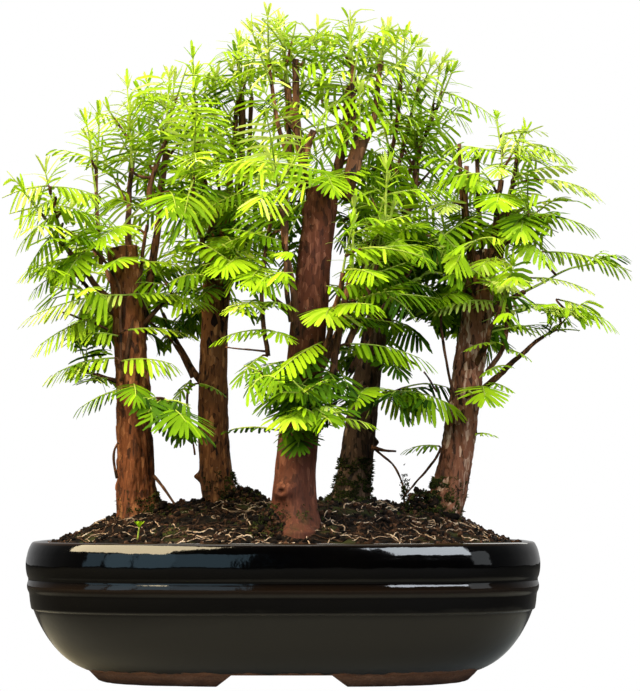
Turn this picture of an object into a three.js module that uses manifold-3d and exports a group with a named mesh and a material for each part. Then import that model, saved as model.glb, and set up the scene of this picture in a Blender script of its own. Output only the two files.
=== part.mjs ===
// Dawn redwood bonsai forest: five trunks with cut tops stand in one mound of soil in a glazed pot.
// Millimetres, +Z up. The front of the pot faces -Y and the longest side runs along X.
import * as THREE from 'three';
import { mergeVertices } from 'three/addons/utils/BufferGeometryUtils.js';
import Module from 'manifold-3d';

const wasm = await Module();
wasm.setup();

// Driving dimensions in millimetres, angles in degrees.
const POT = { halfLength: 149, halfWidth: 112, height: 80, squareness: 3.2, sides: 32 };
const WALL = 8;
const FOOT = { height: 8, wall: 15, inset: 34, taper: 7, frontGap: 53, sideGap: 42, gapSlope: 10 };
const DRAIN = { radius: 10, spacing: 130 };
const MOUND = { rimDrop: 3, rise: 26, crestY: 15, clearance: 0.4 };
const SEAT = { depth: 4, clearance: 0.4 };
const LIMB = { thick: 1.2, thickPerReach: 0.015, steps: 24, stemEnd: 0.86, tip: 0.7 };
const UNION_GAP = 0.35;
const BUTT_GAP = 0.3;
const FLARE_HEIGHT = 10;
const CROWN = {
  middleX: 19, middleY: 6, halfLength: 186, halfWidth: 130, squareness: 2.6, top: 390, aboveSoil: 6,
};
const SPRAY = {
  length: 50, shortest: 20, halfWidth: 21, fullWidthLength: 42, thickness: 1.4, stalk: 1,
  bareRib: 0.14, toothedRib: 0.82, pitch: 15, lean: 0.55, margin: 1.2,
};
const TIER = {
  pitch: 19, pairStep: 2, spread: 58,
  firstOnTrunk: 0.32, firstPastBough: 0.1, last: 0.76, tip: 0.84, trials: 6,
};
const UPRIGHT = 0.78;

const COLOUR = { glaze: 0x0b0d0d, soil: 0x3b3024, bark: 0x6b452a, needles: 0x9fbf3c };

const rad = THREE.MathUtils.degToRad;
const lerp = THREE.MathUtils.lerp;
const UP = new THREE.Vector3(0, 0, 1);
const vec = (x, y, z) => new THREE.Vector3(x, y, z);

// A heading turned about Z from +X and raised above the level.
function heading(turn, rise) {
  const level = Math.cos(rad(rise));
  return vec(Math.cos(rad(turn)) * level, Math.sin(rad(turn)) * level, Math.sin(rad(rise)));
}

// The same random numbers for the same seed on every run.
function seeded(seed) {
  let state = seed * 2654435761 >>> 0;
  return (low, high) => {
    state = (state + 0x6d2b79f5) >>> 0;
    let t = Math.imul(state ^ (state >>> 15), state | 1);
    t ^= t + Math.imul(t ^ (t >>> 7), t | 61);
    return low + (high - low) * (((t ^ (t >>> 14)) >>> 0) / 4294967296);
  };
}

// Closed solids from rings, joined and cut

function geometryOf(corners, triangles) {
  const geometry = new THREE.BufferGeometry();
  geometry.setAttribute('position', new THREE.Float32BufferAttribute(corners, 3));
  geometry.setIndex(triangles);
  return geometry;
}

function solid(geometry) {
  const shape = geometry.clone();
  shape.deleteAttribute('normal');
  shape.deleteAttribute('uv');
  const merged = mergeVertices(shape, 1e-4);
  const vertProperties = Float32Array.from(merged.attributes.position.array);
  const triVerts = Uint32Array.from(merged.index.array);
  return new wasm.Manifold(new wasm.Mesh({ numProp: 3, vertProperties, triVerts }));
}

function geometryFrom(manifold) {
  const mesh = manifold.getMesh();
  const geometry = geometryOf(Array.from(mesh.vertProperties), Array.from(mesh.triVerts));
  geometry.computeVertexNormals();
  return geometry;
}

function largestPiece(manifold) {
  const pieces = manifold.decompose();
  return pieces.reduce((best, piece) => (piece.volume() > best.volume() ? piece : best));
}

// Skin over a row of rings with equal counts of points, closed by a fan at each end.
function skin(rings) {
  const count = rings[0].length;
  const corners = rings.flat().flatMap((p) => [p.x, p.y, p.z]);
  const triangles = [];
  for (let r = 0; r + 1 < rings.length; r += 1) {
    for (let i = 0; i < count; i += 1) {
      const a = r * count + i;
      const b = r * count + (i + 1) % count;
      triangles.push(a, b, b + count, a, b + count, a + count);
    }
  }
  const middle = (ring) => ring.reduce((sum, p) => sum.add(p), vec(0, 0, 0)).divideScalar(count);
  const first = middle(rings[0]);
  const last = middle(rings.at(-1));
  corners.push(first.x, first.y, first.z, last.x, last.y, last.z);
  const firstIndex = rings.length * count;
  const lastStart = (rings.length - 1) * count;
  for (let i = 0; i < count; i += 1) {
    const j = (i + 1) % count;
    triangles.push(firstIndex, j, i, firstIndex + 1, lastStart + i, lastStart + j);
  }
  return geometryOf(corners, triangles);
}

// The pot's plan is a rounded rectangle, brought in by an inset from the widest outline.

function planPoint(turn, inset, z) {
  const share = 2 / POT.squareness;
  const x = Math.sign(Math.cos(turn)) * Math.abs(Math.cos(turn)) ** share;
  const y = Math.sign(Math.sin(turn)) * Math.abs(Math.sin(turn)) ** share;
  return vec(x * (POT.halfLength - inset), y * (POT.halfWidth - inset), z);
}

function planRing(inset, z) {
  const ring = [];
  for (let i = 0; i < POT.sides; i += 1) {
    ring.push(planPoint((i + 0.5) * 2 * Math.PI / POT.sides, inset, z));
  }
  return ring;
}

const planSkin = (profile) => skin(profile.map(([inset, z]) => planRing(inset, z)));

function curvePoints(curve, steps) {
  return curve.getPoints(steps).map((p) => [p.x, p.y]);
}

// Outer side from the base up: bowl, groove, ridge and full upper band with a rounded lip.
const BASE_Z = FOOT.height - 1;
const RIDGE_Z = 49;
const FLOOR_Z = BASE_Z + WALL;
const INNER_FLOOR_INSET = 36;
const flat = (x, y) => new THREE.Vector2(x, y);
const bowl = new THREE.QuadraticBezierCurve(flat(33, BASE_Z), flat(12, 14), flat(2.7, 43));
const band = new THREE.QuadraticBezierCurve(flat(1.2, RIDGE_Z + 3), flat(-0.6, 64), flat(0.4, 74));
const lip = new THREE.QuadraticBezierCurve(flat(0.4, 74), flat(0.8, POT.height), flat(5, POT.height));
const innerWall = new THREE.QuadraticBezierCurve(
  flat(WALL, POT.height - 2), flat(WALL + 2, 24), flat(INNER_FLOOR_INSET, FLOOR_Z),
);

function potSolid() {
  const outside = [
    ...curvePoints(bowl, 4),
    [3.2, RIDGE_Z - 3],
    [0.5, RIDGE_Z - 1],
    [0.5, RIDGE_Z + 1],
    ...curvePoints(band, 2),
    ...curvePoints(lip, 2).slice(1),
  ];
  const inside = curvePoints(innerWall, 4);
  let pot = solid(planSkin([...outside, ...inside]));
  pot = pot.add(feetSolid());
  for (const side of [-1, 1]) {
    const drain = new THREE.CylinderGeometry(DRAIN.radius, DRAIN.radius, 4 * WALL, 8);
    drain.rotateX(Math.PI / 2);
    drain.translate(side * DRAIN.spacing / 2, 0, BASE_Z + WALL / 2);
    pot = pot.subtract(solid(drain));
  }
  return pot;
}

// Feet: a low ring under the base, open in the middle of each side, so that one foot wraps each corner.
function feetSolid() {
  const outer = planSkin([[FOOT.inset + FOOT.taper, 0], [FOOT.inset - 1, FOOT.height]]);
  const inner = planSkin([[FOOT.inset + FOOT.wall, -1], [FOOT.inset + FOOT.wall, FOOT.height + 1]]);
  let feet = solid(outer).subtract(solid(inner));
  feet = feet.subtract(gapSolid(FOOT.frontGap, 2 * POT.halfWidth));
  feet = feet.subtract(gapSolid(FOOT.sideGap, 2 * POT.halfLength).rotate([0, 0, 90]));
  return feet;
}

function gapSolid(width, depth) {
  const half = width / 2;
  const shape = new THREE.Shape([
    flat(-half - FOOT.gapSlope - 1, -1),
    flat(half + FOOT.gapSlope + 1, -1),
    flat(half, BASE_Z),
    flat(-half, BASE_Z),
  ]);
  const gap = new THREE.ExtrudeGeometry(shape, { depth, bevelEnabled: false });
  gap.translate(0, 0, -depth / 2);
  gap.rotateX(Math.PI / 2);
  return solid(gap);
}

// Soil fills the pot and rises to a mound whose crest lies a little behind the middle.

const SOIL_INSET = WALL + MOUND.clearance;

function soilHeight(x, y) {
  const u = Math.min(1, Math.abs(x) / (POT.halfLength - SOIL_INSET));
  const reach = y < MOUND.crestY
    ? POT.halfWidth - SOIL_INSET + MOUND.crestY
    : POT.halfWidth - SOIL_INSET - MOUND.crestY;
  const w = Math.min(1, Math.abs(y - MOUND.crestY) / reach);
  const v = Math.abs(y) / (POT.halfWidth - SOIL_INSET);
  const edge = Math.min(1, u ** POT.squareness + v ** POT.squareness);
  const swell = (1 - u ** 3.6) * (1 - w ** 1.5) * (1 - edge ** 2.5);
  return POT.height - MOUND.rimDrop + MOUND.rise * swell;
}

function soilSolid() {
  const wall = curvePoints(innerWall, 4).slice(1).reverse();
  const rings = wall.map(([inset, z], i) => (
    planRing(inset + MOUND.clearance, i === 0 ? z + MOUND.clearance : z)
  ));
  const shares = [1, 0.93, 0.83, 0.69, 0.5, 0.28, 0.1];
  for (const share of shares) {
    rings.push(planRing(SOIL_INSET, 0).map((p) => {
      const x = p.x * share;
      const y = p.y * share;
      return vec(x, y, soilHeight(x, y));
    }));
  }
  let soil = solid(skin(rings));
  for (const trunk of Object.values(trunks)) {
    soil = soil.subtract(solid(trunkSkin(trunk, SEAT.clearance)));
  }
  return largestPiece(soil);
}

// Trunks: foot and top on the plan, height of the cut top and sideways bow of the middle. Radii are at
// the waist, at the cut top, and at the flare of the strongest root, which heads towards root.

const trunks = {
  left: {
    foot: [-87, -15], top: [-96, -15, 253], bow: 4, flare: 17, root: -10, waist: 10.8, tip: 8.4, lobes: 4,
  },
  back_left: {
    foot: [-42, 25], top: [-38, 22, 284], bow: -8, flare: 25, root: 10, waist: 9.4, tip: 7.6, lobes: 3,
  },
  centre: {
    foot: [5, -60], top: [23, -50, 284], bow: -3, flare: 18, root: -120, waist: 12, tip: 9.2, lobes: 5,
  },
  back_right: {
    foot: [41, 30], top: [62, 32, 238], bow: -6, flare: 17, root: 0, waist: 11, tip: 6.4, lobes: 4,
  },
  right: {
    foot: [95, -10], top: [119, -10, 252], bow: 2, flare: 18, root: 190, waist: 10.2, tip: 7.6, lobes: 4,
  },
};
const TRUNK_SIDES = 12;
const TRUNK_RINGS = [0, 0.03, 0.07, 0.14, 0.3, 0.5, 0.75, 1];
const CUT_SLANT = 0.16;

function trunkPoint(trunk, share) {
  const foot = vec(...trunk.foot, soilHeight(...trunk.foot) - SEAT.depth);
  const top = vec(...trunk.top);
  const middle = foot.clone().lerp(top, 0.5).add(vec(trunk.bow, 0, 0));
  return new THREE.QuadraticBezierCurve3(foot, middle, top).getPoint(share);
}

// Radius towards a turn about the axis; the flare dies out a little above the soil.
function trunkRadius(trunk, share, turn) {
  const height = share * (trunk.top[2] - POT.height);
  const fromRoot = turn - rad(trunk.root);
  const flare = (trunk.flare - trunk.waist) * Math.exp(-height / FLARE_HEIGHT);
  const fluting = 1 + (0.02 + 0.1 * Math.exp(-share * 9)) * Math.cos(trunk.lobes * fromRoot);
  return lerp(trunk.waist, trunk.tip, share) * fluting + flare * (0.42 + 0.58 * Math.cos(fromRoot));
}

function trunkSkin(trunk, grow = 0) {
  const rings = TRUNK_RINGS.map((share) => {
    const centre = trunkPoint(trunk, share);
    const ring = [];
    for (let i = 0; i < TRUNK_SIDES; i += 1) {
      const turn = i * 2 * Math.PI / TRUNK_SIDES;
      const radius = trunkRadius(trunk, share, turn) + grow;
      const slant = share === 1 ? CUT_SLANT * radius * Math.cos(turn) : 0;
      ring.push(centre.clone().add(vec(radius * Math.cos(turn), radius * Math.sin(turn), slant)));
    }
    return ring;
  });
  if (grow > 0) {
    rings.unshift(rings[0].map((p) => p.clone().setZ(p.z - grow)));
    rings.push(rings.at(-1).map((p) => p.clone().setZ(p.z + grow)));
  }
  return skin(rings);
}

// Limbs of each trunk. A limb leaves the trunk's side at a share of its length, heads along turn and
// rise, and bends by lift over its reach. The first part, bare, is a bough, and the rest is the stem of
// a mass of foliage. A limb with no bare part carries foliage from the trunk on.
const limbsOfTrunks = {
  left: {
    arch: { at: 0.77, turn: -150, rise: 42, lift: 10, reach: 86, bare: 0.42 },
    crown: { at: 0.9, turn: 80, rise: 82, lift: 8, reach: 105, bare: 0.28 },
    leader: { at: 0.62, turn: 35, rise: 80, lift: 5, reach: 175, bare: 0.42 },
    mid: { at: 0.74, turn: -155, rise: 37, lift: -10, reach: 48 },
    low: { at: 0.5, turn: -170, rise: 20, lift: 5, reach: 30, spray: 32 },
    skirt: { at: 0.42, turn: -60, rise: 10, lift: -20, reach: 50, spray: 56 },
    inner: { at: 0.7, turn: -10, rise: 48, lift: -15, reach: 40 },
    rear: { at: 0.84, turn: 110, rise: 15, lift: 20, reach: 85 },
    rear_low: { at: 0.72, turn: 100, rise: 5, lift: 10, reach: 52, spray: 44 },
  },
  back_left: {
    crown: { at: 0.95, turn: -45, rise: 83, lift: 0, reach: 105, bare: 0.28 },
    front: { at: 0.74, turn: -105, rise: 40, lift: 25, reach: 80 },
    out: { at: 0.4, turn: 140, rise: 45, lift: 20, reach: 95, bare: 0.45 },
    rear: { at: 0.8, turn: 95, rise: 20, lift: 35, reach: 80 },
    low: { at: 0.66, turn: 95, rise: 10, lift: 10, reach: 56 },
  },
  centre: {
    crown: { at: 0.95, turn: 150, rise: 72, lift: 14, reach: 106, bare: 0.3 },
    leader: { at: 0.94, turn: 50, rise: 63, lift: 32, reach: 112, bare: 0.32, thick: 4.6 },
    left: { at: 0.53, turn: -125, rise: 78, lift: -5, reach: 112, bare: 0.4 },
    left_low: { at: 0.6, turn: -155, rise: 43, lift: -10, reach: 57 },
    low_left: { at: 0.4, turn: -120, rise: 17, lift: -15, reach: 39 },
    low_front: { at: 0.28, turn: -75, rise: 20, lift: -15, reach: 40, spray: 44 },
    right: { at: 0.39, turn: -55, rise: 55, lift: 22, reach: 107, bare: 0.38 },
    far_right: { at: 0.44, turn: 10, rise: 59, lift: 22, reach: 128, bare: 0.4 },
  },
  back_right: {
    crown: { at: 0.92, turn: -27, rise: 72, lift: 14, reach: 117, bare: 0.25, thick: 3.4 },
    mid: { at: 0.77, turn: -50, rise: 44, lift: 0, reach: 76, bare: 0.3 },
    low: { at: 0.5, turn: -60, rise: 0, lift: -10, reach: 50, spray: 50 },
    rear: { at: 0.88, turn: 87, rise: 24, lift: 30, reach: 81 },
    low_rear: { at: 0.68, turn: 87, rise: 8, lift: 8, reach: 52 },
  },
  right: {
    crown: { at: 0.94, turn: -10, rise: 79, lift: 10, reach: 76, bare: 0.22, thick: 3 },
    high_out: { at: 0.96, turn: -17, rise: 50, lift: -25, reach: 42, spray: 46 },
    far: { at: 0.75, turn: 10, rise: 39, lift: -25, reach: 85, bare: 0.55, spray: 44 },
    low_out: { at: 0.46, turn: -15, rise: 42, lift: -5, reach: 82, bare: 0.68, spray: 38 },
    mid: { at: 0.57, turn: -63, rise: 37, lift: 30, reach: 69, bare: 0.35 },
    low: { at: 0.46, turn: -88, rise: 10, lift: -20, reach: 38, spray: 36 },
    inner: { at: 0.82, turn: -142, rise: 45, lift: 15, reach: 61 },
    rear: { at: 0.85, turn: 87, rise: 11, lift: 20, reach: 79 },
    rear_low: { at: 0.68, turn: 80, rise: 6, lift: 10, reach: 54, spray: 44 },
  },
};

// A limb's radius at the trunk grows with its reach, unless the limb names its own.
const limbs = {};
for (const [on, own] of Object.entries(limbsOfTrunks)) {
  for (const [name, limb] of Object.entries(own)) {
    const thick = LIMB.thick + LIMB.thickPerReach * limb.reach;
    limbs[`${on}_${name}`] = { on, bare: 0, spray: SPRAY.length, thick, ...limb };
  }
}

// Centreline of a limb as points at even steps of its reach.
function limbLine(limb) {
  const trunk = trunks[limb.on];
  const side = heading(limb.turn, 0).multiplyScalar(0.6 * lerp(trunk.waist, trunk.tip, limb.at));
  const points = [trunkPoint(trunk, limb.at).add(side)];
  for (let i = 0; i < LIMB.steps; i += 1) {
    const rise = limb.rise + limb.lift * (i + 0.5) / LIMB.steps;
    const step = heading(limb.turn, rise).multiplyScalar(limb.reach / LIMB.steps);
    points.push(points[i].clone().add(step));
  }
  return points;
}

function pointOn(line, share) {
  const place = share * (line.length - 1);
  const i = Math.min(line.length - 2, Math.floor(place));
  return line[i].clone().lerp(line[i + 1], place - i);
}

function headingOn(line, share) {
  const i = Math.min(line.length - 2, Math.floor(share * (line.length - 1)));
  return line[i + 1].clone().sub(line[i]).normalize();
}

const radiusOn = (limb, share) => lerp(limb.thick, LIMB.tip, share ** 0.7);

// A round tapered solid on the limb's centreline between two shares of its reach.
function limbSkin(limb, line, from, to, sides, steps) {
  const turn = rad(limb.turn);
  const across = vec(-Math.sin(turn), Math.cos(turn), 0);
  const rings = [];
  for (let s = 0; s <= steps; s += 1) {
    const share = lerp(from, to, s / steps);
    const centre = pointOn(line, share);
    const over = headingOn(line, share).cross(across);
    const radius = radiusOn(limb, share);
    const ring = [];
    for (let i = 0; i < sides; i += 1) {
      const angle = i * 2 * Math.PI / sides;
      ring.push(centre.clone()
        .addScaledVector(across, radius * Math.cos(angle))
        .addScaledVector(over, radius * Math.sin(angle)));
    }
    rings.push(ring);
  }
  return skin(rings);
}

// Each mass keeps to the points that lie nearer to its own stem than to any other mass's stem, and
// clear of every trunk, bough, the soil and the pot.

function distanceToLine(point, line) {
  const span = new THREE.Line3();
  const foot = vec(0, 0, 0);
  let nearest = Infinity;
  for (let i = 0; i + 1 < line.length; i += 1) {
    span.set(line[i], line[i + 1]);
    span.closestPointToPoint(point, true, foot);
    nearest = Math.min(nearest, foot.distanceTo(point));
  }
  return nearest;
}

const lines = Object.fromEntries(Object.entries(limbs).map(([name, limb]) => [name, limbLine(limb)]));

function stretch(line, from, to, steps) {
  return Array.from({ length: steps + 1 }, (_, i) => pointOn(line, lerp(from, to, i / steps)));
}

const stems = Object.fromEntries(Object.entries(limbs).map(([name, limb]) => (
  [name, stretch(lines[name], Math.max(limb.bare, 0.1), 1, 6)]
)));

const trunkLines = Object.values(trunks).map((trunk) => {
  const points = Array.from({ length: 13 }, (_, i) => trunkPoint(trunk, i / 12));
  return { trunk, points };
});

function clearOfLimbs(point, own) {
  for (const { trunk, points } of trunkLines) {
    const foot = points[0].z;
    const share = THREE.MathUtils.clamp((point.z - foot) / (trunk.top[2] - foot), 0, 1);
    const out = point.clone().sub(trunkPoint(trunk, share));
    const past = Math.max(0, point.z - trunk.top[2]);
    const away = Math.hypot(out.x, out.y, past);
    if (away < trunkRadius(trunk, share, Math.atan2(out.y, out.x)) + SPRAY.margin + 1) return false;
  }
  for (const [name, limb] of Object.entries(limbs)) {
    if (limb.bare > 0) {
      const end = limb.bare + (name === own ? -0.04 : 0.02);
      const away = distanceToLine(point, stretch(lines[name], 0, end, 6));
      if (away < limb.thick + SPRAY.margin) return false;
    }
  }
  return true;
}

function inOwnSpace(point, own) {
  if (point.z < soilHeight(point.x, point.y) + CROWN.aboveSoil || point.z > CROWN.top) return false;
  const u = Math.abs(point.x - CROWN.middleX) / CROWN.halfLength;
  const v = Math.abs(point.y - CROWN.middleY) / CROWN.halfWidth;
  if (u ** CROWN.squareness + v ** CROWN.squareness > 1) return false;
  if (!clearOfLimbs(point, own)) return false;
  const mine = distanceToLine(point, stems[own]);
  return Object.entries(stems).every(([name, line]) => (
    name === own || distanceToLine(point, line) > mine + SPRAY.margin
  ));
}

// A spray of needles as a thin blade with a tooth for each cluster of needles, thickest along its rib
// and sagging towards its tip. A tooth that would leave the mass's space is left out, and the spray
// ends where its rib would.
function sprayBlade(root, along, face, length, sag, own) {
  const across = face.clone().cross(along).normalize();
  const normal = along.clone().cross(across).normalize();
  const place = (u, v, h = 0) => root.clone()
    .addScaledVector(along, u)
    .addScaledVector(across, v)
    .addScaledVector(normal, h)
    .addScaledVector(UP, -sag * u * u / length);
  const fits = (u, v) => inOwnSpace(place(u, v), own);

  const corners = [];
  const triangles = [];
  const corner = (u, v, h) => corners.push(...place(u, v, h).toArray()) / 3 - 1;
  const section = (u, half, rise) => (
    { left: corner(u, half, 0), right: corner(u, -half, 0), ridge: corner(u, 0, rise) }
  );
  const facet = (edge, a, b, c) => triangles.push(...(edge === 'left' ? [a, b, c] : [a, c, b]));
  const wall = (edge, a, b) => {
    facet(edge, a[edge], a.ridge, b.ridge);
    facet(edge, a[edge], b.ridge, b[edge]);
  };
  const tooth = (edge, a, b, tip) => {
    facet(edge, a[edge], tip, b[edge]);
    facet(edge, a[edge], a.ridge, tip);
    facet(edge, a.ridge, b.ridge, tip);
    facet(edge, b.ridge, b[edge], tip);
  };

  const ribStart = SPRAY.bareRib * length;
  const ribLength = SPRAY.toothedRib * length;
  const count = Math.max(2, Math.round(ribLength / SPRAY.pitch));
  const pitch = ribLength / count;
  const heel = section(0, 0.6 * SPRAY.stalk, 0.7 * SPRAY.thickness);
  let last = section(ribStart, SPRAY.stalk, SPRAY.thickness);
  triangles.push(heel.left, heel.right, heel.ridge);
  triangles.push(heel.left, last.left, last.right, heel.left, last.right, heel.right);
  wall('left', heel, last);
  wall('right', heel, last);
  let end = 0;
  for (let i = 0; i < count; i += 1) {
    const start = ribStart + i * pitch;
    const next = start + pitch;
    if (!fits((start + next) / 2, 0) || !fits(next, 0)) break;
    const share = (i + 0.5) / count;
    const swell = 0.62 + 0.9 * share - 1.05 * share * share;
    const width = SPRAY.halfWidth * swell * Math.min(1, length / SPRAY.fullWidthLength);
    const tipU = (start + next) / 2 + SPRAY.lean * width;
    const here = section(next, SPRAY.stalk * (1 - 0.7 * share), SPRAY.thickness * (1 - 0.4 * share));
    triangles.push(last.left, here.left, here.right, last.left, here.right, last.right);
    for (const [edge, side] of [['left', 1], ['right', -1]]) {
      const tipV = side * width;
      const sidesFit = fits((start + tipU) / 2, tipV / 2) && fits((next + tipU) / 2, tipV / 2);
      if (sidesFit && fits(tipU, tipV)) {
        tooth(edge, last, here, corner(tipU, tipV, 0));
      } else {
        wall(edge, last, here);
      }
    }
    last = here;
    end = next;
  }
  if (end < SPRAY.shortest) return null;
  const point = corner(end + 0.35 * pitch, 0, 0);
  triangles.push(last.left, point, last.right);
  triangles.push(last.left, last.ridge, point, last.ridge, last.right, point);
  return { end, blade: solid(geometryOf(corners, triangles)) };
}

// Sprays leave a stem in pairs, each pair turned a quarter from the last on an upright stem and lying
// level on a sideways one, with one more spray at the tip.
function sprayPlaces(limb, line) {
  const places = [];
  const from = limb.bare > 0 ? lerp(limb.bare, 1, TIER.firstPastBough) : TIER.firstOnTrunk;
  const tiers = Math.max(2, Math.round((TIER.last - from) * limb.reach / TIER.pitch) + 1);
  for (let t = 0; t < tiers; t += 1) {
    const share = lerp(from, TIER.last, t / (tiers - 1));
    const roll = headingOn(line, share).z > UPRIGHT ? 45 + 90 * t : 0;
    const length = limb.spray * lerp(1.1, 0.8, t / tiers);
    for (const side of [-1, 1]) {
      const step = side * TIER.pairStep / limb.reach;
      places.push({ share: share + step, roll, side, spread: TIER.spread, length });
    }
  }
  places.push({ share: TIER.tip, roll: 0, side: 1, spread: 0, length: 28 + (1 - TIER.tip) * limb.reach });
  return places;
}

// A spray that its space would cut short is tried again at other angles, and the longest is kept.
function bestSpray(name, place, random) {
  const line = lines[name];
  const turn = rad(limbs[name].turn);
  const level = vec(-Math.sin(turn), Math.cos(turn), 0);
  const ahead = headingOn(line, place.share);
  const over = ahead.clone().cross(level);
  const tip = pointOn(line, 1);
  const outward = vec(tip.x, tip.y, 0).normalize();
  let best = null;
  for (let trial = 0; trial < TIER.trials; trial += 1) {
    const roll = rad(place.roll + random(-30, 30));
    const spread = rad(place.spread + random(-12, 12));
    const out = level.clone().multiplyScalar(place.side * Math.cos(roll))
      .addScaledVector(over, place.side * Math.sin(roll));
    const along = ahead.clone().multiplyScalar(Math.cos(spread)).addScaledVector(out, Math.sin(spread));
    const face = vec(random(-0.7, 0.7), random(-0.7, 0.7), random(0.6, 1)).addScaledVector(outward, 0.6);
    face.addScaledVector(along, -face.dot(along)).normalize();
    const length = place.length * random(0.92, 1.08);
    const spray = sprayBlade(pointOn(line, place.share), along, face, length, random(0.1, 0.3), name);
    if (spray && (!best || spray.end > best.end)) best = spray;
    if (best && best.end > 0.8 * place.length) break;
  }
  return best;
}

function foliageSolid(name, index) {
  const limb = limbs[name];
  const random = seeded(index + 11);
  const stemStart = limb.bare > 0 ? limb.bare + BUTT_GAP / limb.reach : 0;
  let mass = solid(limbSkin(limb, lines[name], stemStart, LIMB.stemEnd, 3, 4));
  for (const place of sprayPlaces(limb, lines[name])) {
    const spray = bestSpray(name, place, random);
    if (spray) mass = mass.add(spray.blade);
  }
  return limb.bare > 0 ? mass : largestPiece(mass.subtract(grownTrunks[limb.on]));
}

function boughSolid(name) {
  const limb = limbs[name];
  const bough = solid(limbSkin(limb, lines[name], 0, limb.bare, 6, 4));
  return largestPiece(bough.subtract(grownTrunks[limb.on]));
}

const grownTrunks = Object.fromEntries(
  Object.entries(trunks).map(([name, trunk]) => [name, solid(trunkSkin(trunk, UNION_GAP))]),
);

// The scene graph: one named mesh for each sub-part.

const finish = {
  glaze: new THREE.MeshStandardMaterial({ color: COLOUR.glaze, roughness: 0.12, metalness: 0 }),
  soil: new THREE.MeshStandardMaterial({ color: COLOUR.soil, roughness: 0.95, metalness: 0 }),
  bark: new THREE.MeshStandardMaterial({ color: COLOUR.bark, roughness: 0.85, metalness: 0 }),
  needles: new THREE.MeshStandardMaterial({ color: COLOUR.needles, roughness: 0.55, metalness: 0 }),
};

const forest = new THREE.Group();

function place(name, manifold, material) {
  const mesh = new THREE.Mesh(geometryFrom(manifold), material);
  mesh.name = name;
  forest.add(mesh);
}

place('pot', potSolid(), finish.glaze);
place('soil', soilSolid(), finish.soil);
for (const [name, trunk] of Object.entries(trunks)) {
  place(`${name}_trunk`, solid(trunkSkin(trunk)), finish.bark);
}
Object.keys(limbs).forEach((name, index) => {
  if (limbs[name].bare > 0) {
    place(`${name}_bough`, boughSolid(name), finish.bark);
  }
  place(`${name}_foliage`, foliageSolid(name, index), finish.needles);
});

// The origin is on the standing plane, under the middle of the whole plant's outline.
const outline = new THREE.Box3().setFromObject(forest, true);
const middle = outline.getCenter(vec(0, 0, 0));
forest.position.set(-middle.x, -middle.y, 0);

export default forest;
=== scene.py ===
# Dawn redwood bonsai forest: five cut-top trunks with feathery sprays of needles, in a mound of soil in
# a glazed pot on clay feet. Shapes are worked out in millimetres from the middle of the pot's foot, with
# +X to the right and -Y to the front, and are set in the frame in metres.
import itertools
import math

import bpy
import numpy as np
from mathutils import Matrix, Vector, noise


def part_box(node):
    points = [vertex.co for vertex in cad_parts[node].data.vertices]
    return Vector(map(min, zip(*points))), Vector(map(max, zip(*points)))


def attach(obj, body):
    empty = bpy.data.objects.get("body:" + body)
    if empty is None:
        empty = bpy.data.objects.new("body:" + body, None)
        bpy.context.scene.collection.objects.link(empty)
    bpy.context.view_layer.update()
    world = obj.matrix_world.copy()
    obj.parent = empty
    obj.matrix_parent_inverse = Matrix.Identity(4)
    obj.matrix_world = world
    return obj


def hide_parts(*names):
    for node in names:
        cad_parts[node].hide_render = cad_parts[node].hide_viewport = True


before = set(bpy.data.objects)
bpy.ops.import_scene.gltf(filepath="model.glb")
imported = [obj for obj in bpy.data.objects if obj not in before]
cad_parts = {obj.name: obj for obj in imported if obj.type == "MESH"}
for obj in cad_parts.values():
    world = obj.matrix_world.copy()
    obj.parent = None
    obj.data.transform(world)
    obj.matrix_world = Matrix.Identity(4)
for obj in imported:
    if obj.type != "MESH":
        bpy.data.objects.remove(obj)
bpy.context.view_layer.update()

# Camera
# The view is level with the rim of the pot, from the front, through a long lens tipped up a little. A point
# of the plant that the front view shows is given by its pixel of the picture and its depth.
pot_low, pot_high = (np.array(corner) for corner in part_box("pot"))
FOOT_MIDDLE = np.array([*((pot_low + pot_high) / 2)[:2], 0.0])
MM = 0.001
EYE = np.array([21.2, -1200.0, 99.0])
TIP_UP = math.radians(4.63)
PHOTO_WIDTH = 640
PHOTO_HEIGHT = 691
FOCAL_PIXELS = 2011
SENSOR_WIDTH = 36.0


def in_frame(points):
    """Millimetres from the middle of the pot's foot, as metres in the frame."""
    return np.asarray(points, dtype=float) * MM + FOOT_MIDDLE


def seen_at(u, v, y):
    """The point that shows at a pixel of the picture, at a distance y in front of or behind the middle."""
    right = (u - PHOTO_WIDTH / 2) / FOCAL_PIXELS
    up = (PHOTO_HEIGHT / 2 - v) / FOCAL_PIXELS
    ray = np.array([
        right, math.cos(TIP_UP) - up * math.sin(TIP_UP), math.sin(TIP_UP) + up * math.cos(TIP_UP),
    ])
    return EYE + ray * (y - EYE[1]) / ray[1]


camera_data = bpy.data.cameras.new("camera")
camera_data.sensor_fit = "HORIZONTAL"
camera_data.sensor_width = SENSOR_WIDTH
camera_data.lens = SENSOR_WIDTH * FOCAL_PIXELS / PHOTO_WIDTH
camera = bpy.data.objects.new("camera", camera_data)
bpy.context.collection.objects.link(camera)
camera.location = in_frame(EYE)
camera.rotation_euler = (math.pi / 2 + TIP_UP, 0, 0)
bpy.context.scene.camera = camera
bpy.context.scene.view_settings.view_transform = "Standard"

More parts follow.
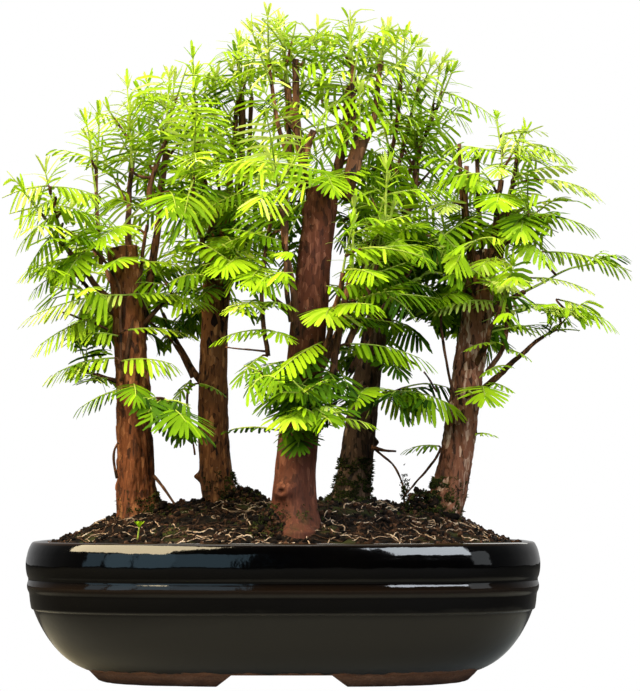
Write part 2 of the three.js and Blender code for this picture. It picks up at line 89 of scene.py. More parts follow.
# Studio
# A white floor that is pale only near the pot, in a surround that is dim to the front, so that the glaze
# stays black. A wide warm soft box lights from high at the front left, and weaker ones from the right,
# above and behind. Four panes at the front left, and one high up at the front right, show in the glaze.
FLOOR_HALF = 4.0
FLOOR_STRETCH = (0.75, 1.0, 1.0)
FLOOR_TONES = [(0.14, (0.245, 0.245, 0.225)), (0.21, (0.012, 0.012, 0.012))]
SURROUND_TONES = [(0.12, (0.015, 0.016, 0.018)), (0.55, (0.13, 0.133, 0.136)), (0.9, (0.42, 0.42, 0.42))]
WHITE = (1, 1, 1, 1)
SOFT_BOXES = {
    "left_window": {"at": (-870, -730, 1180), "size": (1560, 820), "power": 84, "tint": (1.0, 0.83, 0.53)},
    "right_window": {"at": (980, -560, 420), "size": (300, 520), "power": 0.7, "tint": (0.9, 0.96, 1.0)},
    "overhead": {"at": (-120, -160, 1250), "size": (800, 800), "power": 7, "tint": (1.0, 1.0, 0.96)},
    "behind": {"at": (260, 900, 760), "size": (900, 700), "power": 5, "tint": (1.0, 1.0, 0.94)},
    "side_pane": {"at": (-1734, -1354, 620), "size": (500, 1120), "power": 2.2, "tint": (0.5, 0.8, 1.0)},
    "far_pane": {"at": (-1324, -1757, 620), "size": (500, 1120), "power": 3.4, "tint": (0.5, 0.8, 1.0)},
    "middle_pane": {"at": (-860, -2025, 620), "size": (500, 1120), "power": 3.2, "tint": (0.5, 0.8, 1.0)},
    "near_pane": {"at": (-382, -2167, 620), "size": (480, 1120), "power": 2.4, "tint": (0.5, 0.8, 1.0)},
    "high_pane": {"at": (880, -1230, 1190), "size": (1150, 830), "power": 50, "tint": (0.86, 0.93, 1.0)},
}
AIM = np.array([10.0, 0.0, 200.0])


def piece_mesh(name, points, faces):
    """A mesh object from millimetre points, with no owner yet."""
    mesh = bpy.data.meshes.new(name)
    mesh.from_pydata(in_frame(points).tolist(), [], faces)
    mesh.validate()
    mesh.shade_smooth()
    made = bpy.data.objects.new(name, mesh)
    bpy.context.collection.objects.link(made)
    return made


def node(tree, kind, sources=None, **settings):
    """A new node. A source is a plain value or another node's output, by the input's name or place."""
    made = tree.nodes.new(kind)
    for name, value in settings.items():
        setattr(made, name, value)
    for name, value in (sources or {}).items():
        if isinstance(value, bpy.types.NodeSocket):
            tree.links.new(value, made.inputs[name])
        else:
            made.inputs[name].default_value = value
    return made


def new_material(name, **values):
    """A material's node tree and its Principled shader, with plain values set on the shader."""
    made = bpy.data.materials.new(name)
    made.use_nodes = True
    shader = made.node_tree.nodes["Principled BSDF"]
    for socket, value in values.items():
        shader.inputs[socket.replace("_", " ")].default_value = value
    return made, made.node_tree, shader


def ramp(tree, factor, stops):
    """Colour along a factor, from (place, colour) stops."""
    made = node(tree, "ShaderNodeValToRGB", {"Fac": factor})
    while len(made.color_ramp.elements) < len(stops):
        made.color_ramp.elements.new(0.5)
    for element, (place, colour) in zip(made.color_ramp.elements, stops):
        element.position = place
        element.color = (*colour, 1) if len(colour) == 3 else colour
    return made.outputs["Color"]


def blend_colours(tree, factor, first, second):
    """Two colours mixed by a factor."""
    sources = {0: factor, 6: first, 7: second}
    for place in (6, 7):
        if not isinstance(sources[place], bpy.types.NodeSocket):
            sources[place] = (*sources[place][:3], 1)
    return node(tree, "ShaderNodeMix", sources, data_type="RGBA").outputs[2]


def show_camera(tree, lit, shown, output):
    """One shader for the light's sake and another that only the camera sees, mixed into an output."""
    path = node(tree, "ShaderNodeLightPath")
    mixed = node(tree, "ShaderNodeMixShader", {0: path.outputs["Is Camera Ray"], 1: lit, 2: shown})
    tree.links.new(mixed.outputs[0], tree.nodes[output].inputs["Surface"])


floor = bpy.data.objects.new("floor", bpy.data.meshes.new("floor"))
bpy.context.collection.objects.link(floor)
corners = [(-FLOOR_HALF, -FLOOR_HALF, 0), (FLOOR_HALF, -FLOOR_HALF, 0)]
corners += [(FLOOR_HALF, FLOOR_HALF, 0), (-FLOOR_HALF, FLOOR_HALF, 0)]
floor.data.from_pydata(corners, [], [(0, 1, 2, 3)])
floor_paint, floor_tree, floor_shader = new_material("floor_paint", Roughness=0.85)
floor_place = node(floor_tree, "ShaderNodeTexCoord").outputs["Object"]
floor_plan = node(floor_tree, "ShaderNodeMapping", {"Vector": floor_place, "Scale": FLOOR_STRETCH})
away = node(floor_tree, "ShaderNodeVectorMath", {0: floor_plan.outputs["Vector"]}, operation="LENGTH")
floor_colour = ramp(floor_tree, away.outputs["Value"], FLOOR_TONES)
floor_tree.links.new(floor_colour, floor_shader.inputs["Base Color"])
white = node(floor_tree, "ShaderNodeEmission", {"Color": WHITE, "Strength": 1.0})
show_camera(floor_tree, floor_shader.outputs[0], white.outputs[0], "Material Output")
floor.data.materials.append(floor_paint)

for name, box in SOFT_BOXES.items():
    lamp = bpy.data.lights.new(name, "AREA")
    lamp.shape = "RECTANGLE"
    lamp.size = box["size"][0] * MM
    lamp.size_y = box["size"][1] * MM
    lamp.energy = box["power"]
    lamp.color = box["tint"]
    holder = bpy.data.objects.new(name, lamp)
    bpy.context.collection.objects.link(holder)
    holder.location = in_frame(box["at"])
    aim = Vector(in_frame(AIM)) - holder.location
    holder.rotation_euler = aim.to_track_quat("-Z", "Y").to_euler()

world = bpy.data.worlds.new("surround")
bpy.context.scene.world = world
world.use_nodes = True
sky_tree = world.node_tree
direction = node(sky_tree, "ShaderNodeTexCoord").outputs["Generated"]
parts = node(sky_tree, "ShaderNodeSeparateXYZ", {"Vector": direction})
front_to_back = node(sky_tree, "ShaderNodeMath", {0: parts.outputs["Y"], 1: 0.5}, operation="MULTIPLY")
share = node(sky_tree, "ShaderNodeMath", {0: front_to_back.outputs[0], 1: 0.5}, operation="ADD")
glow = sky_tree.nodes["Background"]
sky_tree.links.new(ramp(sky_tree, share.outputs[0], SURROUND_TONES), glow.inputs["Color"])
seen = node(sky_tree, "ShaderNodeBackground", {"Color": WHITE, "Strength": 1.0})
show_camera(sky_tree, glow.outputs[0], seen.outputs[0], "World Output")

# Pot
# A stoneware pot, a rounded rectangle in plan: a bowl that curves out from the base, a groove, a thin
# ridge and a full upper band with a rounded lip. It is pressed in a mould and dipped in a black glaze
# that pools unevenly and stops in a ragged line above the feet.
HALF_LENGTH = 149
HALF_WIDTH = 112
POT_HEIGHT = 80
SQUARENESS = 3.2
WALL = 8
BASE_Z = 7
POT_SIDES = 360
GLAZE_WAVE = 0.16
GLAZE_LINE = 0.0048
GLAZE_EDGE = 0.0006
GLAZE_RAG = 0.006
THIN_GLAZE = (0.035, 0.020, 0.011)
PLAN_STEPS = 6001


def plan_curve(inset, count):
    """Points spaced evenly round the pot's plan, brought in by an inset, from +X to the left round."""
    turn = np.linspace(0, 2 * np.pi, PLAN_STEPS)
    power = 2 / SQUARENESS
    x = np.sign(np.cos(turn)) * np.abs(np.cos(turn)) ** power * (HALF_LENGTH - inset)
    y = np.sign(np.sin(turn)) * np.abs(np.sin(turn)) ** power * (HALF_WIDTH - inset)
    run = np.concatenate([[0], np.cumsum(np.hypot(np.diff(x), np.diff(y)))])
    at = np.arange(count) * run[-1] / count
    return np.stack([np.interp(at, run, x), np.interp(at, run, y)], axis=1)


def bend(start, control, end, steps):
    """Points on a quadratic curve."""
    t = np.linspace(0, 1, steps + 1)[:, None]
    start, control, end = (np.array(p, dtype=float) for p in (start, control, end))
    return (1 - t) ** 2 * start + 2 * t * (1 - t) * control + t ** 2 * end


def capped_faces(rows, columns):
    """Quads between closed rows, with a single face over the first row and another over the last."""
    faces = []
    for r in range(rows - 1):
        for c in range(columns):
            a = r * columns + c
            b = r * columns + (c + 1) % columns
            faces.append((a, b, b + columns, a + columns))
    last = (rows - 1) * columns
    return faces + [tuple(reversed(range(columns))), tuple(range(last, last + columns))]


pot_profile = np.concatenate([
    bend((33, BASE_Z), (14, 15), (4.3, 41), 26),
    bend((4.25, 41.3), (3.4, 41.5), (2.9, 42.2), 4),
    bend((2.8, 42.8), (2.1, 46), (1.7, 50.4), 7),
    bend((1.5, 51.2), (-0.2, 54), (0.9, 57.4), 8),
    bend((1.1, 58), (1.3, 59), (0.6, 60.4), 4),
    bend((0.3, 61.4), (-0.9, 66.5), (0.1, 71.4), 10),
    bend((0.3, 72.2), (1.0, 76.2), (2.7, 79.0), 10),
    bend((3.0, 79.4), (3.6, POT_HEIGHT), (4.8, POT_HEIGHT), 5),
    bend((5.4, POT_HEIGHT), (7.8, POT_HEIGHT), (WALL, 77.5), 6),
    bend((WALL, 76), (10, 24), (36, 15), 10),
])
pot_rows = []
for inset, z in pot_profile:
    ring = plan_curve(inset, POT_SIDES)
    wave = [noise.noise((x / 26, y / 26, z / 17)) for x, y in ring]
    ripple = [noise.noise((x / 9, y / 9, z / 6)) for x, y in ring]
    outward = ring / np.linalg.norm(ring, axis=1)[:, None]
    ring = ring + outward * (GLAZE_WAVE * (np.array(wave) + 0.5 * np.array(ripple)))[:, None]
    pot_rows.append(np.column_stack([ring, np.full(POT_SIDES, z)]))
pot = piece_mesh("glazed_pot", np.concatenate(pot_rows), capped_faces(len(pot_rows), POT_SIDES))


def mottle_group():
    """A soft mask with fine grain in it, for uneven glaze, clay, bark and soil."""
    group = bpy.data.node_groups.new("mottle", "ShaderNodeTree")
    for name, kind, value in [
        ("Vector", "NodeSocketVector", None), ("Scale", "NodeSocketFloat", 60.0),
        ("Grain Scale", "NodeSocketFloat", 400.0), ("Grain Share", "NodeSocketFloat", 0.3),
    ]:
        socket = group.interface.new_socket(name=name, in_out="INPUT", socket_type=kind)
        if value is not None:
            socket.default_value = value
    group.interface.new_socket(name="Mask", in_out="OUTPUT", socket_type="NodeSocketFloat")
    given = node(group, "NodeGroupInput")
    broad = node(group, "ShaderNodeTexNoise", {
        "Vector": given.outputs["Vector"], "Scale": given.outputs["Scale"], "Detail": 4.0, "Roughness": 0.6,
    })
    fine = node(group, "ShaderNodeTexNoise", {
        "Vector": given.outputs["Vector"], "Scale": given.outputs["Grain Scale"], "Detail": 3.0,
    })
    mixed = node(group, "ShaderNodeMix", {
        0: given.outputs["Grain Share"], 2: broad.outputs["Fac"], 3: fine.outputs["Fac"],
    })
    node(group, "NodeGroupOutput", {"Mask": mixed.outputs[0]})
    return group


MOTTLE = mottle_group()


def mottle(tree, vector, scale, grain_scale, grain_share):
    """The mottle group placed in a material."""
    return node(tree, "ShaderNodeGroup", {
        "Vector": vector, "Scale": scale, "Grain Scale": grain_scale, "Grain Share": grain_share,
    }, node_tree=MOTTLE).outputs["Mask"]


def place_node(tree):
    """Object coordinates, in metres."""
    return node(tree, "ShaderNodeTexCoord").outputs["Object"]


def grain(tree, vector, scale, detail):
    """A plain noise mask."""
    sources = {"Vector": vector, "Scale": scale, "Detail": detail}
    return node(tree, "ShaderNodeTexNoise", sources).outputs["Fac"]


def height_span(tree, height, low, high, at_low, at_high):
    """A value that goes from one to another between two heights, in metres."""
    return node(tree, "ShaderNodeMapRange", {
        "Value": height, "From Min": low, "From Max": high, "To Min": at_low, "To Max": at_high,
    }).outputs["Result"]


def value_along(tree, mask, low, high):
    """A value from low to high along a mask, such as a roughness."""
    sources = {"Value": mask, "To Min": low, "To Max": high}
    return node(tree, "ShaderNodeMapRange", sources).outputs["Result"]


def bump(tree, shader, height, distance, strength):
    """Relief from a height mask, on the shader's normal."""
    relief = node(tree, "ShaderNodeBump", {"Height": height, "Distance": distance, "Strength": strength})
    tree.links.new(relief.outputs["Normal"], shader.inputs["Normal"])


def glaze_material():
    """Black glaze, brown where it thins over edges, and bare clay under its ragged lower line."""
    made, tree, shader = new_material("black_glaze", Specular_IOR_Level=0.34)
    place = place_node(tree)
    height = node(tree, "ShaderNodeSeparateXYZ", {"Vector": place}).outputs["Z"]
    cloud = mottle(tree, place, 22.0, 260.0, 0.25)
    depth = [(0.35, (0.0001, 0.0001, 0.0002)), (0.7, (0.0006, 0.0005, 0.0004))]
    body = ramp(tree, cloud, depth)
    thin = ramp(tree, height, [
        (0.0, (0.0, 0.0, 0.0)), (0.051, (0.0, 0.0, 0.0)), (0.054, (0.22, 0.22, 0.22)),
        (0.057, (0.0, 0.0, 0.0)), (0.0785, (0.0, 0.0, 0.0)), (0.0802, (0.7, 0.7, 0.7)),
    ])
    body = blend_colours(tree, thin, body, THIN_GLAZE)
    sources = {0: grain(tree, place, 90.0, 3.0), 1: GLAZE_RAG}
    rag = node(tree, "ShaderNodeMath", sources, operation="MULTIPLY").outputs[0]
    raised = node(tree, "ShaderNodeMath", {0: height, 1: rag}, operation="SUBTRACT").outputs[0]
    glazed = height_span(tree, raised, GLAZE_LINE, GLAZE_LINE + GLAZE_EDGE, 0.0, 1.0)
    clay = [(0.3, (0.10, 0.042, 0.024)), (0.7, (0.2, 0.09, 0.05))]
    clay = ramp(tree, mottle(tree, place, 90.0, 900.0, 0.5), clay)
    tree.links.new(blend_colours(tree, glazed, clay, body), shader.inputs["Base Color"])
    rough = node(tree, "ShaderNodeMix", {0: glazed, 2: 0.85, 3: value_along(tree, cloud, 0.03, 0.10)})
    tree.links.new(rough.outputs[0], shader.inputs["Roughness"])
    bump(tree, shader, cloud, 0.0006, 0.35)
    return made


pot.data.materials.append(glaze_material())
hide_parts("pot")
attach(pot, "root")

# Feet
# Four low feet of bare reddish clay wrap the corners under the base. Each was pressed on before firing,
# with sloped ends towards the gap in the middle of each side.
FOOT_HEIGHT = 8
FOOT_TOP_INSET = 33.4
FOOT_BOTTOM_INSET = 41
FOOT_INNER_INSET = 49
FOOT_FRONT_GAP = 26.5
FOOT_SIDE_GAP = 21
FOOT_END_SLOPE = 10
FOOT_STEPS = 60
FOOT_LUMPS = 0.25
FOOT_PLAN_STEPS = 3000


def foot_path(inset, share):
    """One corner's path at an inset, between end gaps that widen downwards; share 1 is the floor."""
    curve = plan_curve(inset, FOOT_PLAN_STEPS)
    gap_x = FOOT_FRONT_GAP + FOOT_END_SLOPE * share
    gap_y = FOOT_SIDE_GAP + FOOT_END_SLOPE * share
    corner = curve[(curve[:, 0] > gap_x) & (curve[:, 1] > gap_y)]
    at = np.linspace(0, len(corner) - 1, FOOT_STEPS)
    return np.column_stack([np.interp(at, np.arange(len(corner)), corner[:, k]) for k in (0, 1)])


FOOT_MIDDLE_INSET = (FOOT_TOP_INSET + FOOT_BOTTOM_INSET) / 2
foot_section = [
    (FOOT_TOP_INSET, 0.0), (FOOT_MIDDLE_INSET, 0.5), (FOOT_BOTTOM_INSET - 0.6, 0.92),
    (FOOT_BOTTOM_INSET + 0.8, 1.0), (FOOT_INNER_INSET - 1.0, 1.0), (FOOT_INNER_INSET, 0.9),
    (FOOT_INNER_INSET, 0.0),
]
feet_points = []
feet_faces = []
for flip_x, flip_y in [(1, 1), (-1, 1), (-1, -1), (1, -1)]:
    rows = []
    for inset, share in foot_section:
        path = foot_path(inset, share) * (flip_x, flip_y)
        rows.append(np.column_stack([path, np.full(FOOT_STEPS, FOOT_HEIGHT * (1 - share))]))
    rows = np.stack(rows, axis=1)
    lumps = np.array([noise.noise(p / 7) for p in rows.reshape(-1, 3)])
    rows[:, :, 2] += FOOT_LUMPS * lumps.reshape(rows.shape[:2])
    rows[:, :, 2] = np.clip(rows[:, :, 2], 0, None)
    start = sum(len(p) for p in feet_points)
    faces = capped_faces(FOOT_STEPS, len(foot_section))
    if flip_x * flip_y > 0:
        faces = [tuple(reversed(face)) for face in faces]
    feet_faces += [tuple(start + i for i in face) for face in faces]
    feet_points.append(rows.reshape(-1, 3))
feet = piece_mesh("clay_feet", np.concatenate(feet_points), feet_faces)


def clay_material():
    """Bare fired clay: gritty, matt and reddish brown, darker in patches."""
    made, tree, shader = new_material("bare_clay")
    place = place_node(tree)
    grit = mottle(tree, place, 70.0, 900.0, 0.45)
    tones = [(0.3, (0.07, 0.032, 0.02)), (0.5, (0.15, 0.066, 0.036)), (0.72, (0.26, 0.13, 0.08))]
    tree.links.new(ramp(tree, grit, tones), shader.inputs["Base Color"])
    tree.links.new(value_along(tree, grit, 0.75, 0.95), shader.inputs["Roughness"])
    bump(tree, shader, grit, 0.0008, 0.7)
    return made


feet.data.materials.append(clay_material())
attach(feet, "root")

# Soil
# Coarse dark soil fills the pot and is mounded towards the middle and the back. Its lumps are in the
# mesh; loose crumbs are laid on it later, with the rest of the ground cover.
SOIL_INSET = WALL + 0.4
SOIL_HALF = (HALF_LENGTH - SOIL_INSET, HALF_WIDTH - SOIL_INSET)
SOIL_RINGS = 100
SOIL_SIDES = 300
CREST_Y = 15
MOUND_RISE = 26
SOIL_EDGE_Z = 77
SOIL_SKIRT = 6
SOIL_LUMPS = [(1.8, 13, 1.7), (1.8, 5, 4.1)]
SOIL_GRIT = (1.3, 2.1, 9.3)


def edge_share(x, y, half):
    """How near a place is to the edge of a plan like the pot's, which is at 1."""
    return (abs(x) / half[0]) ** SQUARENESS + (abs(y) / half[1]) ** SQUARENESS


def soil_height(x, y):
    """Height of the soil's smooth mound."""
    u = min(1, abs(x) / SOIL_HALF[0])
    w = min(1, abs(y - CREST_Y) / (SOIL_HALF[1] + (CREST_Y if y < CREST_Y else -CREST_Y)))
    edge = min(1, edge_share(x, y, SOIL_HALF))
    return SOIL_EDGE_Z + MOUND_RISE * (1 - u ** 3.6) * (1 - w ** 1.5) * (1 - edge ** 2.5)


def soil_surface(x, y):
    """Height of the soil with its lumps and grit, each given by its rise, its size and a layer of noise."""
    lumps = sum(rise * noise.noise((x / size, y / size, layer)) for rise, size, layer in SOIL_LUMPS)
    rise, size, layer = SOIL_GRIT
    lumps += rise * abs(noise.noise((x / size, y / size, layer)))
    return soil_height(x, y) + lumps


soil_rows = []
for share in np.linspace(1, 0.004, SOIL_RINGS):
    ring = plan_curve(SOIL_INSET, SOIL_SIDES) * share
    soil_rows.append([(x, y, soil_surface(x, y)) for x, y in ring])
skirt = [(x, y, SOIL_EDGE_Z - SOIL_SKIRT) for x, y in plan_curve(SOIL_INSET, SOIL_SIDES)]
soil_faces = capped_faces(SOIL_RINGS + 1, SOIL_SIDES)
soil = piece_mesh("soil_mound", [p for row in [skirt] + soil_rows for p in row], soil_faces)


def earth_material(name, dark, middle, light, moss=None):
    """Damp gritty soil from dark to light, with green patches if moss is given."""
    made, tree, shader = new_material(name, Specular_IOR_Level=0.08)
    place = place_node(tree)
    grit = mottle(tree, place, 150.0, 900.0, 0.45)
    colour = ramp(tree, grit, [(0.34, dark), (0.5, middle), (0.68, light)])
    if moss:
        patch = ramp(tree, grain(tree, place, 34.0, 3.0), [(0.56, (0, 0, 0)), (0.66, (0.7, 0.7, 0.7))])
        colour = blend_colours(tree, patch, colour, moss)
    tree.links.new(colour, shader.inputs["Base Color"])
    tree.links.new(value_along(tree, grit, 0.8, 1.0), shader.inputs["Roughness"])
    bump(tree, shader, grit, 0.0012, 0.8)
    return made


SOIL_DARK = (0.0005, 0.0004, 0.0003)
SOIL_MIDDLE = (0.002, 0.0012, 0.0007)
SOIL_LIGHT = (0.013, 0.007, 0.004)
MOSS_GREEN = (0.020, 0.022, 0.005)
soil.data.materials.append(earth_material("soil", SOIL_DARK, SOIL_MIDDLE, SOIL_LIGHT, MOSS_GREEN))
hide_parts("soil")
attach(soil, "root")

# Trunks
# Five trunks, each with its own taper, lean and flared foot, sawn off flat at the top years ago. The
# bark is fibrous and reddish brown, grooved lengthways, and peels in narrow strips and small flakes.
# A knob is its share of the height, its heading in degrees, its size and its rise.
TRUNKS = {
    "left": {
        "foot": (-87, -15), "top": (-96, -15, 253), "bow": 4, "flare": 20, "root": -10, "waist": 10.8,
        "tip": 8.4, "lobes": 4, "flaky": 1.0, "knobs": [(0.62, -60, 6, 1.8), (0.12, 150, 7, 2.0)],
        "groove": (0.032, 0.011, 0.005), "body": (0.190, 0.058, 0.019), "flake": (0.440, 0.180, 0.072),
    },
    "back_left": {
        "foot": (-42, 25), "top": (-38, 22, 284), "bow": -8, "flare": 25, "root": 10, "waist": 9.4,
        "tip": 7.6, "lobes": 3, "flaky": 0.6, "knobs": [(0.11, 185, 4, 4.0), (0.3, -80, 6, 1.5)],
        "groove": (0.010, 0.004, 0.002), "body": (0.165, 0.062, 0.020), "flake": (0.420, 0.180, 0.062),
    },
    "centre": {
        "foot": (5, -60), "top": (23, -50, 284), "bow": -3, "flare": 24, "root": -80, "waist": 12,
        "tip": 9.2, "lobes": 5, "flaky": 0.25,
        "knobs": [
            (0.115, -113, 9, 4.4), (0.115, -113, 5, 3.8), (0.115, -113, 2.4, -5.4), (0.93, -150, 7, 2.2),
        ],
        "groove": (0.034, 0.011, 0.006), "body": (0.100, 0.028, 0.014), "flake": (0.240, 0.088, 0.048),
    },
    "back_right": {
        "foot": (41, 30), "top": (62, 32, 238), "bow": -6, "flare": 20, "root": 190, "waist": 11,
        "tip": 6.4, "lobes": 4, "flaky": 0.7, "knobs": [(0.3, 0, 4, 2.6), (0.55, -100, 6, 1.5)],
        "groove": (0.008, 0.005, 0.003), "body": (0.100, 0.054, 0.030), "flake": (0.340, 0.210, 0.130),
    },
    "right": {
        "foot": (95, -10), "top": (119, -10, 252), "bow": 2, "flare": 23, "root": 190, "waist": 10.2,
        "tip": 7.6, "lobes": 4, "flaky": 1.0, "knobs": [(0.5, -60, 7, 1.8), (0.25, -110, 6, 1.4)],
        "groove": (0.026, 0.011, 0.006), "body": (0.230, 0.086, 0.044), "flake": (0.700, 0.480, 0.340),
    },
}
SEAT_DEPTH = 4
FLARE_HEIGHT = 10
FLUTE_DEPTH = 0.02
FOOT_FLUTE = 0.1
BARK_SWELL = 0.9
GROOVE_DEPTH = 0.12
FLAKY_GROOVE = 0.26
FINE_GROOVE = 0.12
FLAKE_LIFT = 0.4
EDGE_LIFT = 0.35
TOE_RISE = 2.24
TOE_FADE = 22
CUT_SLANT = 0.16
CUT_FROM = 0.93
CUT_ROWS = [(0.94, -0.35), (0.86, 0.1), (0.66, 0.3), (0.42, 0.2), (0.2, 0.3), (0.03, 0.2)]
TRUNK_SIDES = 132
TRUNK_RINGS = 230
BURIED = 0.05
FOOT_CROWDING = 1.15


def trunk_point(trunk, share):
    """A point on a trunk's axis, by its share of the length."""
    foot = np.array([*trunk["foot"], soil_height(*trunk["foot"]) - SEAT_DEPTH])
    top = np.array(trunk["top"], dtype=float)
    middle = (foot + top) / 2 + (trunk["bow"], 0, 0)
    return (1 - share) ** 2 * foot + 2 * share * (1 - share) * middle + share ** 2 * top


def trunk_radius(trunk, share, turn):
    """Radius towards a turn about the axis; the flare dies out a little above the soil."""
    from_root = turn - math.radians(trunk["root"])
    height = max(0, share) * (trunk["top"][2] - POT_HEIGHT)
    flare = (trunk["flare"] - trunk["waist"]) * math.exp(-height / FLARE_HEIGHT)
    depth = FLUTE_DEPTH + FOOT_FLUTE * math.exp(-9 * max(0, share))
    fluting = 1 + depth * math.cos(trunk["lobes"] * from_root)
    waist = trunk["waist"] + (trunk["tip"] - trunk["waist"]) * share
    return waist * fluting + flare * (0.42 + 0.58 * math.cos(from_root))


def step_between(low, high, value):
    """0 below low, 1 above high and a smooth step between."""
    t = min(1, max(0, (value - low) / (high - low)))
    return t * t * (3 - 2 * t)


def bark_relief(x, y, z, flaky):
    """Height of the bark over the trunk's smooth side: grooves, lifted flakes and slow swellings."""
    groove = 1 - min(1, 4.5 * abs(noise.noise((x / 3.2, y / 3.2, z / 30))))
    fine = 1 - min(1, 3.5 * abs(noise.noise((x / 1.5, y / 1.5, z / 12 + 40))))
    flake = step_between(-0.02, 0.06, noise.noise((x / 4.4 + 7, y / 4.4, z / 10)))
    edge = step_between(0.12, 0.2, noise.noise((x / 2.6, y / 2.6 + 9, z / 7)))
    swell = noise.noise((x / 15, y / 15, z / 34 + 3))
    sunk = (GROOVE_DEPTH + FLAKY_GROOVE * flaky) * groove
    lifted = flaky * (FLAKE_LIFT * flake + EDGE_LIFT * edge)
    return BARK_SWELL * swell - sunk - FINE_GROOVE * fine + lifted


def trunk_rows(trunk):
    """Rings of a trunk's barked side from below the soil to the cut, and then across the cut."""
    rows = []
    turns = np.arange(TRUNK_SIDES) * 2 * np.pi / TRUNK_SIDES
    shares = -BURIED + (1 + BURIED) * np.linspace(0, 1, TRUNK_RINGS) ** FOOT_CROWDING
    for share in shares:
        centre = trunk_point(trunk, share)
        row = []
        for turn in turns:
            radius = trunk_radius(trunk, share, turn)
            out = np.array([math.cos(turn), math.sin(turn), 0])
            at = centre + radius * out
            toes = noise.noise((2.2 * math.cos(turn), 2.2 * math.sin(turn), 5))
            toes *= TOE_RISE * math.exp(-max(0, share) * TOE_FADE)
            knob = 0
            for where, towards, size, rise in trunk["knobs"]:
                across = radius * math.remainder(turn - math.radians(towards), 2 * math.pi)
                up = (share - where) * (trunk["top"][2] - POT_HEIGHT)
                knob += rise * math.exp(-(across * across + up * up) / (0.5 * size * size))
            lift = bark_relief(*at, trunk["flaky"]) + toes + knob
            point = at + lift * out
            point[2] += CUT_SLANT * radius * math.cos(turn) * step_between(CUT_FROM, 1, share)
            row.append(point)
        rows.append(np.array(row))
    rim = rows[-1]
    middle = rim.mean(axis=0)
    for share, sink in CUT_ROWS:
        row = middle + (rim - middle) * share
        row[:, 2] += [0.35 * noise.noise(p / 1.6) - sink for p in row]
        rows.append(row)
    return rows


STRIP_STRETCH = (1.0, 1.0, 0.14)
FLAKE_STRETCH = (1.0, 1.0, 0.45)
PAINTED_SHADE_FOOT = (0.085, 0.22)
MOSSY_FOOT = (0.090, 0.130)


def bark_material(name, groove, body, flake, lichen):
    """Fibrous bark: dark grooves, reddish strips, paler flakes and pale specks; mossy low down, and
    darkened towards the foot as painted shade.
    """
    made, tree, shader = new_material(name, Specular_IOR_Level=0.15)
    place = place_node(tree)
    drawn = node(tree, "ShaderNodeMapping", {"Vector": place, "Scale": STRIP_STRETCH}).outputs["Vector"]
    strips = mottle(tree, drawn, 260.0, 900.0, 0.35)
    drawn = node(tree, "ShaderNodeMapping", {"Vector": place, "Scale": FLAKE_STRETCH}).outputs["Vector"]
    flakes = node(tree, "ShaderNodeTexVoronoi", {"Vector": drawn, "Scale": 420.0, "Randomness": 1.0})
    flakes = flakes.outputs["Color"]
    shade = node(tree, "ShaderNodeMix", {0: 0.3, 2: strips, 3: flakes})
    tones = [(0.38, groove), (0.46, body), (0.55, body), (0.66, flake)]
    colour = ramp(tree, shade.outputs[0], tones)
    pale = ramp(tree, grain(tree, place, 620.0, 2.0), [(0.69, (0, 0, 0)), (0.78, (0.5, 0.5, 0.5))])
    colour = blend_colours(tree, pale, colour, lichen)
    height = node(tree, "ShaderNodeSeparateXYZ", {"Vector": place}).outputs["Z"]
    # Painted shade: low on the trunk the bark is blended towards its groove colour, as if in the crown's
    # shadow.
    colour = blend_colours(tree, height_span(tree, height, *PAINTED_SHADE_FOOT, 0.66, 0.0), colour, groove)
    sources = {0: grain(tree, place, 70.0, 4.0), 1: height_span(tree, height, *MOSSY_FOOT, 0.58, 0.0)}
    damp = node(tree, "ShaderNodeMath", sources, operation="MULTIPLY").outputs[0]
    mossy = ramp(tree, damp, [(0.27, (0, 0, 0)), (0.35, (0.6, 0.6, 0.6))])
    tree.links.new(blend_colours(tree, mossy, colour, MOSS_GREEN), shader.inputs["Base Color"])
    tree.links.new(value_along(tree, strips, 0.62, 0.95), shader.inputs["Roughness"])
    bump(tree, shader, shade.outputs[0], 0.0011, 1.0)
    return made


def cut_material():
    """The sawn tops: weathered end grain, greyish red."""
    made, tree, shader = new_material("old_saw_cut")
    place = place_node(tree)
    rings = mottle(tree, place, 320.0, 1400.0, 0.4)
    tones = [(0.3, (0.05, 0.022, 0.012)), (0.55, (0.2, 0.09, 0.045)), (0.75, (0.36, 0.2, 0.11))]
    tree.links.new(ramp(tree, rings, tones), shader.inputs["Base Color"])
    tree.links.new(value_along(tree, rings, 0.7, 0.95), shader.inputs["Roughness"])
    bump(tree, shader, rings, 0.0008, 0.7)
    return made


LICHEN = (0.30, 0.22, 0.14)
SAW_CUT = cut_material()

for name, trunk in TRUNKS.items():
    rows = trunk_rows(trunk)
    faces = capped_faces(len(rows), TRUNK_SIDES)
    bark = piece_mesh(f"{name}_trunk_bark", np.concatenate(rows), faces)
    colours = (trunk["groove"], trunk["body"], trunk["flake"])
    bark.data.materials.append(bark_material(f"{name}_bark", *colours, LICHEN))
    bark.data.materials.append(SAW_CUT)
    cut_from = (len(rows) - 1 - len(CUT_ROWS)) * TRUNK_SIDES
    for face in bark.data.polygons:
        if face.index >= cut_from and face.index != len(faces) - 2:
            face.material_index = 1
    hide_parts(f"{name}_trunk")
    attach(bark, "root")

